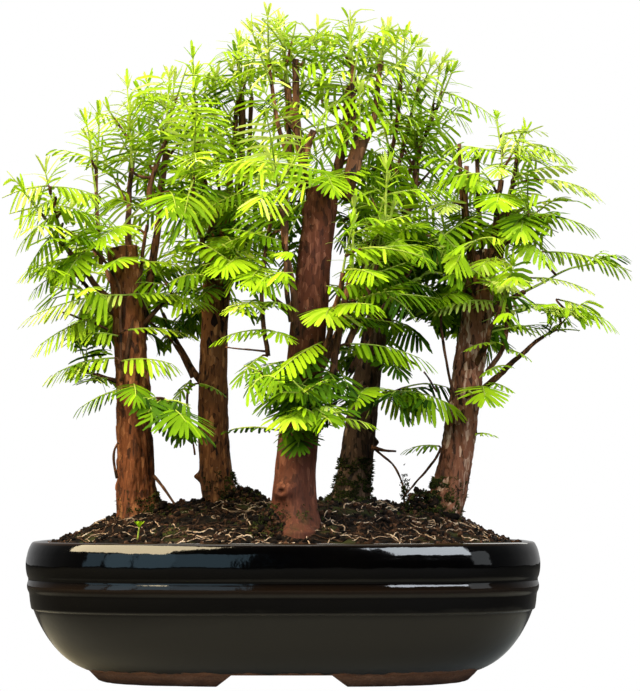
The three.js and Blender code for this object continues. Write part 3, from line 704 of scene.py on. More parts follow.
# Boughs and twigs
# Limbs leave the sides of the trunks, round and tapered, and wander by seeded noise. The upright ones were
# cut back to brown stubs that carry pale green shoots; the sideways ones thin out into green twigs. A row
# is a limb's place up the trunk, turn, rise, lift on the way, reach, and the bare share of a bough.
LIMBS = {
    "left": {
        "arch": (0.77, -150, 42, 10, 86, 0.42), "crown": (0.9, 80, 82, 8, 105, 0.28),
        "leader": (0.62, 35, 80, 5, 175, 0.42), "mid": (0.74, -155, 37, -10, 48, 0),
        "low": (0.5, -170, 20, 5, 30, 0), "skirt": (0.42, -60, 10, -20, 50, 0),
        "inner": (0.7, -10, 48, -15, 40, 0), "rear": (0.84, 110, 15, 20, 85, 0),
        "rear_low": (0.72, 100, 5, 10, 52, 0),
    },
    "back_left": {
        "crown": (0.95, -45, 83, 0, 105, 0.28), "front": (0.74, -105, 40, 25, 80, 0),
        "out": (0.4, 140, 45, 20, 95, 0.45), "rear": (0.8, 95, 20, 35, 80, 0),
        "low": (0.66, 95, 10, 10, 56, 0),
    },
    "centre": {
        "crown": (0.95, 150, 72, 14, 106, 0.3), "leader": (0.94, 50, 63, 32, 112, 0.32),
        "left": (0.53, -125, 78, -5, 112, 0.4), "left_low": (0.6, -155, 43, -10, 57, 0),
        "low_left": (0.4, -120, 17, -15, 39, 0), "low_front": (0.28, -75, 20, -15, 40, 0),
        "right": (0.39, -55, 55, 22, 107, 0.38), "far_right": (0.44, 10, 59, 22, 128, 0.4),
    },
    "back_right": {
        "crown": (0.92, -27, 72, 14, 117, 0.25), "mid": (0.77, -50, 44, 0, 76, 0.3),
        "low": (0.5, -60, 0, -10, 50, 0), "rear": (0.88, 87, 24, 30, 81, 0),
        "low_rear": (0.68, 87, 8, 8, 52, 0),
    },
    "right": {
        "crown": (0.94, -10, 79, 10, 76, 0.22), "high_out": (0.96, -17, 50, -25, 42, 0),
        "far": (0.75, 10, 39, -25, 85, 0.55), "low_out": (0.46, -15, 42, -5, 82, 0.68),
        "mid": (0.57, -63, 37, 30, 69, 0.35), "low": (0.46, -88, 10, -20, 38, 0),
        "inner": (0.82, -142, 45, 15, 61, 0), "rear": (0.85, 87, 11, 20, 79, 0),
        "rear_low": (0.68, 80, 6, 10, 54, 0),
    },
}
SPRAY_SCALE = {
    "left_low": 0.5, "left_mid": 0.7, "left_arch": 0.75, "left_skirt": 0.7, "left_rear_low": 0.8,
    "right_low_out": 0.55, "right_far": 0.6, "right_high_out": 0.75, "right_low": 0.6, "right_mid": 0.75,
    "right_rear_low": 0.8, "centre_low_front": 0.65, "centre_low_left": 0.6, "centre_left_low": 0.65,
    "back_right_low": 0.6, "back_right_low_rear": 0.75, "back_left_low": 0.75,
}
BARE_LIMBS = {"right_far": 0.36}
THICK_LIMBS = {"centre_leader": 4.6, "back_right_crown": 3.4, "right_crown": 3.0}
LIMB_STEPS = 24
LIMB_SEAT = 0.6
LIMB_WANDER = 2.2
WANDER_SEED = 3
UP = np.array([0.0, 0.0, 1.0])
noise.seed_set(WANDER_SEED)


def heading(turn, rise):
    """A heading turned about Z from +X and raised above the level, in degrees."""
    turn, rise = math.radians(turn), math.radians(rise)
    return np.array([math.cos(turn) * math.cos(rise), math.sin(turn) * math.cos(rise), math.sin(rise)])


def unit(v):
    """A vector or rows of vectors at length 1."""
    return v / np.linalg.norm(v, axis=-1, keepdims=True)


def limb_line(trunk, at, turn, rise, lift, reach):
    """Centreline of a limb as points at even steps of its reach, with a slight natural wander."""
    side = LIMB_SEAT * (trunk["waist"] + (trunk["tip"] - trunk["waist"]) * at)
    points = [trunk_point(trunk, at) + heading(turn, 0) * side]
    for i in range(LIMB_STEPS):
        along = heading(turn, rise + lift * (i + 0.5) / LIMB_STEPS)
        points.append(points[-1] + along * reach / LIMB_STEPS)
    points = np.array(points)
    for i, point in enumerate(points):
        drift = noise.noise_vector((at * 31 + i * 0.22, turn * 0.1, reach * 0.07))
        points[i] = point + LIMB_WANDER * min(1, i / 8) * np.array(drift)
    return points


def along_line(line, share):
    """A point and the heading at a share of a line."""
    place = min(max(share, 0), 1) * (len(line) - 1)
    i = min(len(line) - 2, int(place))
    return line[i] + (line[i + 1] - line[i]) * (place - i), unit(line[i + 1] - line[i])


def add_tube(store, points, radii, sides, rough=0.0):
    """A tapered round tube with flat ends, added to a store of points and faces."""
    points = np.asarray(points)
    heads = unit(np.gradient(points, axis=0))
    across = unit(np.cross(heads, (0.31, 0.17, 0.11)))
    over = np.cross(across, heads)
    start = store["count"]
    turns = np.arange(sides) * 2 * np.pi / sides
    for point, a, b, radius in zip(points, across, over, radii):
        for turn in turns:
            out = math.cos(turn) * a + math.sin(turn) * b
            swell = rough * noise.noise((point + radius * out) / (3, 3, 9)) if rough else 0
            store["points"].append(point + (radius + swell) * out)
    faces = capped_faces(len(points), sides)
    store["faces"] += [tuple(start + i for i in reversed(face)) for face in faces]
    store["count"] += len(points) * sides


def new_store():
    """An empty store of points and faces."""
    return {"points": [], "faces": [], "count": 0}


# Needles
# A spray is a thin green stalk with two rows of flat, blunt, soft needles that droop like the slopes of a
# tent. High in the crown they are longer, narrower and further apart, and young shoots carry them in
# crossed pairs up to a tuft. Greens go from pale lime outside to deep green inside, partly the needles'
# own greens and partly painted light outside and painted shade inside.
NEEDLE_STATIONS = np.array([0, 0.15, 0.5, 0.88, 1])
NEEDLE_WIDTHS = np.array([0.4, 0.9, 1.0, 0.86, 0.3])
NEEDLE_CREASE = 0.12
STYLES = {
    "fan": {
        "pitch": 3.3, "width": 2.5, "first": 76, "last": 22, "sag": (0.15, 0.45), "tent": (4, 34),
        "length": (26, 42), "needle": (11, 15), "droop": (0.1, 0.7), "stalk": 0.6,
    },
    "umbrella": {
        "pitch": 2.5, "width": 2.5, "first": 92, "last": 16, "sag": (0.14, 0.28), "tent": (-4, 8),
        "length": (16, 24), "needle": (14, 19), "droop": (0.2, 0.6), "stalk": 0.6,
    },
    "lax": {
        "pitch": 4.6, "width": 1.85, "first": 76, "last": 32, "sag": (0.2, 0.6), "tent": (-10, 18),
        "length": (32, 54), "needle": (16, 23), "droop": (0.1, 0.7), "stalk": 0.6,
    },
}
# Pale and lime stand partly for painted highlight on lit needles, and deep and shade partly for painted
# shade inside the crown.
GREENS = {
    "pale": (0.500, 0.610, 0.110), "lime": (0.365, 0.545, 0.024), "fresh": (0.250, 0.415, 0.007),
    "leaf": (0.125, 0.248, 0.004), "deep": (0.048, 0.120, 0.003), "shade": (0.015, 0.045, 0.002),
}
GREEN_NAMES = list(GREENS)
CROWN_MIDDLE = np.array([20.0, 1.0])
CROWN_HALF = np.array([188.2, 124.9])
CROWN_SQUARENESS = 2.6
CROWN_TOP = 392
CROWN_FOOT = 100
LOW_GROWTH = 3
BARK_CLEARANCE = 0.6
# Painted light and shade: sprays outside and high in the crown are given paler greens, and those inside and
# low down deeper ones.
DEEPEST_GREEN = 5.6
PALER_OUTWARDS = 2.1
PALER_UPWARDS = 3.4
TINT_STEPS = [-1] + 7 * [0] + [1]
TUFT = [0.96, 0.98, 1.0]
TUFT_ANGLE = 28
SHOOT_ANGLE = 78
SHOOT_CLOSING = 22
SHOOT_NEEDLE_WIDTH = 1.85
DROOP_STEPS = 9
FANS_FADE = 70
UPRIGHT_RISE = 60
MISSING_SHARE = 0.12
STEM_PITCH = 11
TWIG_PITCH = 12
TWIG_GAP = 15
TWIG_TURN = 137.5
HIGH_BELOW_FANS = 40
# The crown's edges are pixels of the picture. A gap is an oval, by its middle and its half sizes, and a
# bare spot is an oval that only growth further back than a depth may fill.
UPPER_EDGE = [
    (0, 182), (10, 164), (45, 156), (60, 120), (95, 110), (110, 80), (150, 72), (168, 70), (185, 55),
    (215, 46), (235, 24), (265, 12), (285, 8), (310, 24), (348, 2), (366, 16), (400, 32), (436, 48),
    (460, 74), (500, 116), (545, 138), (570, 156), (592, 190), (600, 240), (640, 262),
]
LOWER_EDGE = [
    (0, 200), (18, 244), (30, 320), (52, 374), (64, 380), (85, 408), (112, 416), (128, 446), (165, 452),
    (218, 442), (228, 432), (262, 434), (284, 452), (316, 456), (332, 440), (345, 426), (380, 426),
    (400, 428), (440, 460), (448, 430), (485, 418), (492, 436), (512, 412), (540, 336), (590, 332),
    (606, 322), (618, 278), (640, 276),
]
SKY_GAPS = [
    (24, 256, 22, 9), (24, 292, 26, 9), (64, 316, 18, 6), (52, 356, 22, 8), (86, 392, 30, 7),
    (88, 426, 30, 16), (86, 280, 14, 5), (150, 386, 22, 12), (176, 392, 16, 8), (184, 348, 14, 9),
    (152, 350, 9, 7), (168, 312, 12, 6), (162, 226, 11, 5), (160, 255, 17, 5), (240, 292, 11, 7),
    (238, 322, 16, 8), (240, 354, 20, 9), (236, 376, 14, 12), (232, 408, 12, 20), (252, 420, 14, 6),
    (276, 292, 9, 6), (274, 318, 13, 9), (338, 262, 9, 16), (340, 192, 7, 7), (418, 340, 20, 16),
    (412, 376, 30, 8), (386, 420, 16, 18), (414, 438, 22, 10), (328, 470, 12, 40), (334, 398, 6, 5),
    (478, 132, 20, 9), (490, 160, 10, 6), (470, 166, 8, 5), (562, 207, 26, 5), (570, 243, 32, 6),
    (528, 256, 18, 5), (576, 270, 40, 6), (612, 292, 34, 9), (552, 296, 30, 5), (532, 318, 16, 5),
    (566, 352, 46, 18), (520, 340, 14, 7), (446, 348, 12, 7), (436, 372, 12, 8), (530, 404, 26, 34),
    (408, 112, 7, 5), (250, 112, 6, 7), (60, 252, 14, 4), (72, 226, 10, 5), (306, 126, 7, 5),
]
BARE_SPOTS = [
    (122, 262, 18, 26, -16), (122, 318, 12, 40, -16), (130, 372, 18, 38, -16), (134, 440, 18, 40, -16),
    (210, 320, 18, 40, 24), (212, 400, 19, 60, 24), (322, 216, 18, 34, -52), (312, 266, 17, 36, -56),
    (306, 318, 17, 30, -58), (298, 340, 14, 12, -60), (364, 368, 14, 14, 26), (358, 460, 18, 34, 26),
    (481, 256, 16, 14, -12), (474, 316, 17, 32, -12), (468, 376, 17, 20, -12), (456, 440, 20, 40, -12),
    (292, 80, 9, 20, -44), (241, 114, 6, 20, 8), (353, 96, 4, 28, -48), (378, 96, 4, 30, -48),
    (361, 138, 11, 15, -52), (157, 170, 7, 30, -20), (135, 190, 6, 24, -20), (502, 176, 5, 24, -14),
]


def in_picture(points):
    """The pixels of the picture at which points show."""
    away = points - EYE
    ahead = away[:, 1] * math.cos(TIP_UP) + away[:, 2] * math.sin(TIP_UP)
    over = away[:, 2] * math.cos(TIP_UP) - away[:, 1] * math.sin(TIP_UP)
    u = PHOTO_WIDTH / 2 + FOCAL_PIXELS * away[:, 0] / ahead
    v = PHOTO_HEIGHT / 2 - FOCAL_PIXELS * over / ahead
    return u, v


def outside_oval(u, v, oval):
    """Whether pixels lie outside an oval, given by its middle and its half sizes."""
    middle_u, middle_v, half_u, half_v = oval
    return ((u - middle_u) / half_u) ** 2 + ((v - middle_v) / half_v) ** 2 > 1


def in_front_view(points):
    """Whether points keep to the crown's edges, and out of its gaps, as the front view shows them."""
    points = np.atleast_2d(points)
    u, v = in_picture(points)
    kept = (v > np.interp(u, *zip(*UPPER_EDGE))) & (v < np.interp(u, *zip(*LOWER_EDGE)))
    for gap in SKY_GAPS:
        kept &= outside_oval(u, v, gap)
    for *spot, behind in BARE_SPOTS:
        kept &= outside_oval(u, v, spot) | (points[:, 1] > behind)
    return kept


def in_crown(points):
    """Whether points lie in the crown's outline, clear of the soil and of every trunk."""
    points = np.atleast_2d(points)
    plan = np.abs(points[:, :2] - CROWN_MIDDLE) / CROWN_HALF
    inside = (plan ** CROWN_SQUARENESS).sum(axis=1) < 1
    inside &= points[:, 2] < CROWN_TOP
    for i in np.flatnonzero(points[:, 2] < SOIL_EDGE_Z + MOUND_RISE + LOW_GROWTH):
        inside[i] &= points[i, 2] > soil_height(points[i, 0], points[i, 1]) + LOW_GROWTH
    for trunk in TRUNKS.values():
        foot, top = trunk_point(trunk, 0)[2], trunk["top"][2]
        share = np.clip((points[:, 2] - foot) / (top - foot), 0, 1)[:, None]
        away = np.linalg.norm((points - trunk_point(trunk, share))[:, :2], axis=1)
        radius = trunk["waist"] + (trunk["tip"] - trunk["waist"]) * share[:, 0]
        inside &= (away > radius + BARK_CLEARANCE) | (points[:, 2] > top + 1)
    return inside


def new_growth():
    """Everything that grows on one trunk: wood, green stalks, and needles by their green."""
    return {
        "wood": new_store(), "stalks": new_store(), "needles": {name: [] for name in GREENS}, "lines": [],
        "by_rule": True,
    }


def add_needles(growth, tints, roots, heads, overs, lengths, widths, sags):
    """Needles as creased straps in their own outline, sorted into their greens."""
    s = NEEDLE_STATIONS[None, :, None]
    spine = roots[:, None] + heads[:, None] * lengths[:, None, None] * s
    spine[..., 2] -= (sags * lengths)[:, None] * NEEDLE_STATIONS ** 2
    keep = in_crown(spine[:, -1]) & in_crown(spine[:, 2])
    if growth["by_rule"]:
        keep &= in_front_view(spine[:, -1]) & in_front_view(spine[:, 2])
    spine, overs, widths, tints = spine[keep], overs[keep], widths[keep], tints[keep]
    if not len(spine):
        return
    tangent = unit(np.gradient(spine, axis=1))
    across = unit(np.cross(overs[:, None], tangent))
    normal = np.cross(tangent, across)
    half = (widths[:, None] * NEEDLE_WIDTHS)[..., None] / 2
    rib = spine - normal * half * 2 * NEEDLE_CREASE
    straps = np.stack([spine + across * half, rib, spine - across * half], axis=2)
    for tint in np.unique(tints):
        growth["needles"][GREEN_NAMES[tint]].append(straps[tints == tint])


def spread_tints(rng, tint, count):
    """A green for each needle of a spray, a few of them a step off."""
    return np.clip(tint + rng.choice(TINT_STEPS, count), 0, len(GREENS) - 1)


def add_spray(growth, rng, line, cover, needle, tint, style):
    """Two rows of needles, and a few at the tip, along the line of a stalk."""
    look = STYLES[style]
    run = np.linalg.norm(np.diff(line, axis=0), axis=1).sum()
    count = max(4, round(run / look["pitch"]))
    places = [along_line(line, share) for share in np.linspace(0, 1, count + 1)]
    points = np.array([place[0] for place in places])
    heads = np.array([place[1] for place in places])
    t = np.linspace(0, 1, count + 1)
    add_tube(growth["stalks"], points[::2], look["stalk"] * (1 - 0.55 * t[::2]), 4)
    over = unit(cover - heads * (heads @ cover)[:, None])
    aside = np.cross(heads, over)
    pick = np.repeat(np.arange(1, count + 1), 2)
    side = np.tile([1.0, -1.0], count)[:, None]
    t, head, over = t[pick], heads[pick], over[pick]
    angle = look["first"] + (look["last"] - look["first"]) * t ** 1.6 + rng.uniform(-4, 4, len(t))
    angle = np.radians(angle)[:, None]
    tent = np.radians(rng.uniform(*look["tent"]) + rng.uniform(-5, 5, len(t)))[:, None]
    out = np.cos(tent) * aside[pick] * side - np.sin(tent) * over
    out = np.cos(angle) * head + np.sin(angle) * out
    lengths = needle * (0.66 + 1.3 * t - 1.4 * t * t) * rng.uniform(0.92, 1.07, len(t))
    widths = look["width"] * rng.uniform(0.85, 1.1, len(t)) * np.clip(lengths / 13, 0.7, 1.05)
    sags = np.clip(rng.uniform(*look["sag"]) + rng.uniform(-0.05, 0.05, len(t)), 0.02, 0.8)
    shift = points[pick] + head * rng.uniform(-0.2, 0.2, len(t))[:, None] * look["pitch"]
    face = unit(over + rng.uniform(-0.3, 0.3, len(t))[:, None] * head)
    add_needles(growth, spread_tints(rng, tint, len(t)), shift, out, face, lengths, widths, sags)


def add_shoot(growth, rng, line, needle, tint, radius=0.8, pitch=5.0):
    """A young shoot: a pale stem with needles in crossed pairs, shorter up to the tuft at its tip."""
    run = np.linalg.norm(np.diff(line, axis=0), axis=1).sum()
    add_tube(growth["stalks"], line, np.linspace(radius, 0.4, len(line)), 5)
    pairs = max(3, round(run / pitch))
    shares = np.append(np.linspace(0.08, 0.93, pairs), TUFT)
    roots, outs, covers, lengths, sags = [], [], [], [], []
    roll = rng.uniform(0, math.pi)
    for share in shares:
        point, head = along_line(line, share)
        a = unit(np.cross(head, (math.cos(roll), math.sin(roll), 0.02)))
        roll += math.pi / 2 + rng.uniform(-0.3, 0.3)
        tip = share >= TUFT[0]
        for side in (1, -1):
            angle = TUFT_ANGLE if tip else SHOOT_ANGLE - SHOOT_CLOSING * share
            angle = math.radians(angle + rng.uniform(-10, 10))
            outs.append(math.cos(angle) * head + math.sin(angle) * side * a)
            roots.append(point)
            covers.append(head)
            lengths.append(needle * (0.5 if tip else 1.05 - 0.3 * share) * rng.uniform(0.75, 1.1))
            sags.append(0.03 if tip else rng.uniform(0.08, 0.45))
    outs, roots, covers = np.array(outs), np.array(roots), np.array(covers)
    widths = SHOOT_NEEDLE_WIDTH * rng.uniform(0.8, 1.05, len(outs))
    tints = spread_tints(rng, tint, len(outs))
    add_needles(growth, tints, roots, outs, covers, np.array(lengths), widths, np.array(sags))


def drooping_line(root, along, length, droop):
    """A line that starts along a heading and bends down, cut short where it would leave the crown."""
    points = [np.array(root)]
    head = unit(along)
    for _ in range(DROOP_STEPS):
        head = unit(head - UP * droop / DROOP_STEPS)
        point = points[-1] + head * length / DROOP_STEPS
        if not in_crown(point)[0] or not in_front_view(point)[0]:
            break
        points.append(point)
    return np.array(points)


def green_with_painted_light(rng, point):
    """The green of a spray: pale outside and above, deep inside and below, partly the needles' own greens
    and partly painted light and shade.
    """
    out = np.linalg.norm((point[:2] - CROWN_MIDDLE) / CROWN_HALF)
    up = (point[2] - CROWN_FOOT) / (CROWN_TOP - CROWN_FOOT)
    score = DEEPEST_GREEN - PALER_OUTWARDS * out - PALER_UPWARDS * up + rng.uniform(-1.0, 1.0)
    return int(np.clip(round(score), 0, len(GREENS) - 1))


def style_for(rng, point, fans_to):
    """Fans low down and lax sprays high in the crown; fans_to is the height where fans give out."""
    return "lax" if rng.random() < step_between(fans_to - FANS_FADE, fans_to, point[2]) else "fan"


def grow_spray(growth, rng, root, along, fans_to, scale):
    """A side spray of the style for its height."""
    style = style_for(rng, root, fans_to)
    look = STYLES[style]
    line = drooping_line(root, along, scale * rng.uniform(*look["length"]), rng.uniform(*look["droop"]))
    if len(line) < 5:
        return
    outward = unit(np.append(root[:2] - CROWN_MIDDLE, 1.0))
    cover = UP + 0.35 * rng.uniform(-1, 1, 3) + 0.25 * outward
    add_spray(growth, rng, line, cover, rng.uniform(*look["needle"]), green_with_painted_light(rng, line[-1]), style)


def dress_stem(growth, rng, line, start, end, pitch, fans_to, scale):
    """Pairs of sprays along a stem: crossed pairs on an upright stem, level ones on a sideways stem."""
    run = np.linalg.norm(np.diff(line, axis=0), axis=1).sum()
    tiers = max(1, round((end - start) * run / pitch))
    roll = rng.uniform(0, 360)
    for tier in range(tiers + 1):
        root, head = along_line(line, start + (end - start) * tier / tiers)
        upright = head[2] > 0.7
        flat = unit(np.cross(head, (0.2, 1.0, 0.1))) if upright else unit(np.cross(UP, head))
        over = np.cross(head, flat)
        roll = roll + 90 if upright else 0
        for side in (-1, 1):
            if rng.random() < MISSING_SHARE:
                continue
            turn = math.radians(roll + rng.uniform(-30, 30))
            spread = math.radians(rng.uniform(50, 80) if upright else rng.uniform(42, 68))
            out = side * (math.cos(turn) * flat + math.sin(turn) * over)
            along = math.cos(spread) * head + math.sin(spread) * out
            grow_spray(growth, rng, root, along, fans_to, scale * (1.08 - 0.3 * tier / (tiers + 1)))


def grow_limb(growth, rng, trunk, name, row, fans_to):
    """One limb with its wood, shoots, side twigs and sprays."""
    at, turn, rise, lift, reach, bare = row
    line = limb_line(trunk, at, turn, rise, lift, reach)
    growth["lines"].append(line)
    thick = THICK_LIMBS.get(name, 1.2 + 0.015 * reach)
    upright = rise + lift / 2 > UPRIGHT_RISE
    wood_end = BARE_LIMBS.get(name, 0.7 if upright else 0.66)
    level = np.array([-math.sin(math.radians(turn)), math.cos(math.radians(turn)), 0])
    shares = np.linspace(0, wood_end, 22)
    radii = thick + (0.7 - thick) * shares ** 0.7
    if upright:
        radii = np.maximum(radii, 0.55 * thick)
    add_tube(growth["wood"], [along_line(line, s)[0] for s in shares], radii, 9, 0.35)
    stem = np.array([along_line(line, s)[0] for s in np.linspace(wood_end - 0.02, 0.96, 14)])
    first = bare + 0.08 * (1 - bare) if bare else 0.3
    scale = SPRAY_SCALE.get(name, 1.0)
    dress_stem(growth, rng, line, first, 0.9, STEM_PITCH, fans_to, scale)
    if upright:
        add_shoot(growth, rng, stem, 20, int(rng.choice([0, 1])))
    else:
        add_tube(growth["stalks"], stem, np.linspace(0.9, 0.45, len(stem)), 5)
        grow_spray(growth, rng, stem[-3], stem[-1] - stem[-3], fans_to, scale)
    twigs = max(2, round(reach * (0.92 - first) / TWIG_GAP))
    for k in range(twigs):
        share = first + (0.86 - first) * (k + 0.5) / twigs
        root, head = along_line(line, share)
        roll = math.radians(TWIG_TURN * k + rng.uniform(-35, 35))
        out = math.cos(roll) * level + math.sin(roll) * np.cross(head, level)
        high = root[2] > fans_to - HIGH_BELOW_FANS
        lean = unit(head * 0.5 + out + UP * (0.9 if high else 0.1))
        size = scale * rng.uniform(28, 46) * (1.1 - 0.35 * share)
        twig = drooping_line(root, lean, size, -0.1 if high else 0.5)
        if len(twig) < 6:
            continue
        add_tube(growth["wood"], twig[:5], np.linspace(0.95, 0.65, 5), 6)
        add_tube(growth["stalks"], twig[4:], np.linspace(0.6, 0.4, len(twig[4:])), 5)
        if high and rng.random() < 0.6:
            add_shoot(growth, rng, twig, rng.uniform(16, 20), green_with_painted_light(rng, twig[-1]))
        else:
            dress_stem(growth, rng, twig, 0.35, 0.85, TWIG_PITCH, fans_to, 0.85 * scale)
            grow_spray(growth, rng, twig[-2], twig[-1] - twig[-2], fans_to, 0.9 * scale)


# Front twigs
# Brown cut-back uprights, bare twigs, the brightest fans and young shoots, placed where the front view
# shows them one by one, by pixels from foot to tip and their depths. A stick adds its radii and how it
# ends; a fan or a shoot adds its needles' length and its green's place, and a thin twig joins it.
# A fan's green's place is partly painted light and shade: paler for fans in the light, deeper for low fans
# inside the crown.
STICKS = {
    "left": [
        ([(101, 264), (97, 205), (96, 168)], (-18, -12), (1.4, 1.1), "cut"),
        ([(121, 381), (120, 320), (121, 282), (94, 247), (64, 229)], (-27, -26), (1.0, 0.8), "bare"),
        ([(126, 360), (134, 311), (141, 270), (147, 225)], (-26, -14), (1.6, 1.1), "bare"),
        ([(102, 306), (88, 290), (73, 268)], (-18, -22), (1.4, 1.2), "cut"),
        ([(108, 330), (92, 322), (61, 312)], (-18, -20), (0.8, 0.5), "bare"),
        ([(148, 205), (151, 180), (166, 140)], (-12, -14), (1.8, 1.3), "shoot"),
        ([(154, 476), (163, 486), (175, 505)], (-20, -34), (1.0, 0.7), "bare"),
        ([(117, 478), (113, 462), (114, 450), (118, 443)], (-22, -26), (0.9, 0.7), "bare"),
    ],
    "back_left": [
        ([(192, 378), (176, 345), (162, 330), (148, 321)], (14, 2), (1.0, 0.6), "bare"),
        ([(238, 200), (242, 140), (241, 92)], (22, 14), (2.6, 2.2), "shoot"),
        ([(244, 205), (250, 140), (251, 97)], (22, 22), (1.6, 1.4), "cut"),
        ([(205, 190), (197, 140), (195, 102)], (20, 8), (2.2, 1.9), "shoot"),
        ([(222, 210), (217, 175), (217, 150)], (18, 4), (1.1, 0.9), "cut"),
        ([(190, 385), (186, 400), (189, 420), (195, 455)], (14, 4), (0.8, 0.5), "bare"),
    ],
    "centre": [
        ([(300, 190), (304, 155), (314, 131)], (-52, -62), (2.2, 1.9), "cut"),
        ([(306, 188), (297, 130), (295, 60)], (-48, -40), (2.5, 2.1), "shoot"),
        ([(300, 190), (277, 128), (269, 62)], (-50, -44), (1.5, 1.1), "shoot"),
        ([(292, 192), (288, 120), (286, 70)], (-46, -34), (1.7, 1.4), "cut"),
        ([(344, 198), (353, 168), (361, 138)], (-54, -48), (4.4, 4.8), "cut"),
        ([(361, 146), (352, 122), (353, 62)], (-50, -42), (1.8, 1.5), "shoot"),
        ([(363, 146), (374, 124), (378, 82), (381, 62)], (-50, -36), (2.0, 1.6), "shoot"),
        ([(291, 322), (286, 285), (286, 245), (287, 198)], (-72, -74), (1.5, 1.1), "bare"),
        ([(268, 356), (261, 313), (263, 262), (274, 205)], (-70, -66), (1.5, 1.0), "bare"),
        ([(332, 376), (343, 305), (352, 274)], (-72, -70), (2.3, 1.9), "shoot"),
        ([(347, 346), (361, 313), (373, 273), (383, 246)], (-68, -62), (2.1, 1.7), "shoot"),
        ([(350, 372), (381, 309), (396, 292), (419, 257)], (-60, -40), (1.7, 1.2), "cut"),
        ([(268, 352), (245, 349), (226, 347)], (-66, -62), (0.6, 0.4), "bare"),
    ],
    "back_right": [
        ([(372, 447), (382, 450), (396, 452)], (20, 10), (1.3, 0.6), "bare"),
        ([(373, 448), (392, 462), (404, 484), (405, 512)], (20, 4), (0.7, 0.5), "bare"),
        ([(382, 240), (392, 190), (390, 150)], (30, 24), (2.0, 1.6), "shoot"),
        ([(398, 250), (416, 190), (419, 150)], (30, 26), (1.8, 1.5), "shoot"),
        ([(390, 200), (409, 125), (419, 86)], (24, 4), (1.5, 1.1), "shoot"),
        ([(384, 200), (398, 120), (402, 70)], (20, -10), (1.4, 1.1), "shoot"),
        ([(396, 200), (428, 130), (440, 100)], (26, 10), (1.3, 1.0), "shoot"),
    ],
    "right": [
        ([(436, 458), (424, 474), (409, 490), (402, 500)], (-14, 0), (0.8, 0.5), "bare"),
        ([(470, 260), (462, 200), (459, 144)], (-12, -10), (1.6, 1.2), "cut"),
        ([(476, 262), (467, 225), (465, 190), (467, 166)], (-14, -22), (1.9, 1.4), "cut"),
        ([(482, 258), (478, 200), (477, 152)], (-10, -4), (1.6, 1.3), "cut"),
        ([(500, 262), (510, 205), (518, 149)], (-8, 0), (1.6, 1.1), "cut"),
        ([(487, 372), (504, 349), (508, 320), (507, 296)], (-18, -24), (1.5, 1.2), "shoot"),
        ([(464, 292), (452, 275), (440, 256)], (-18, -22), (1.4, 1.0), "bare"),
        ([(454, 396), (444, 355), (440, 306)], (-20, -34), (0.9, 0.7), "bare"),
        ([(437, 392), (427, 376), (424, 372)], (-18, -26), (0.7, 0.5), "bare"),
    ],
}
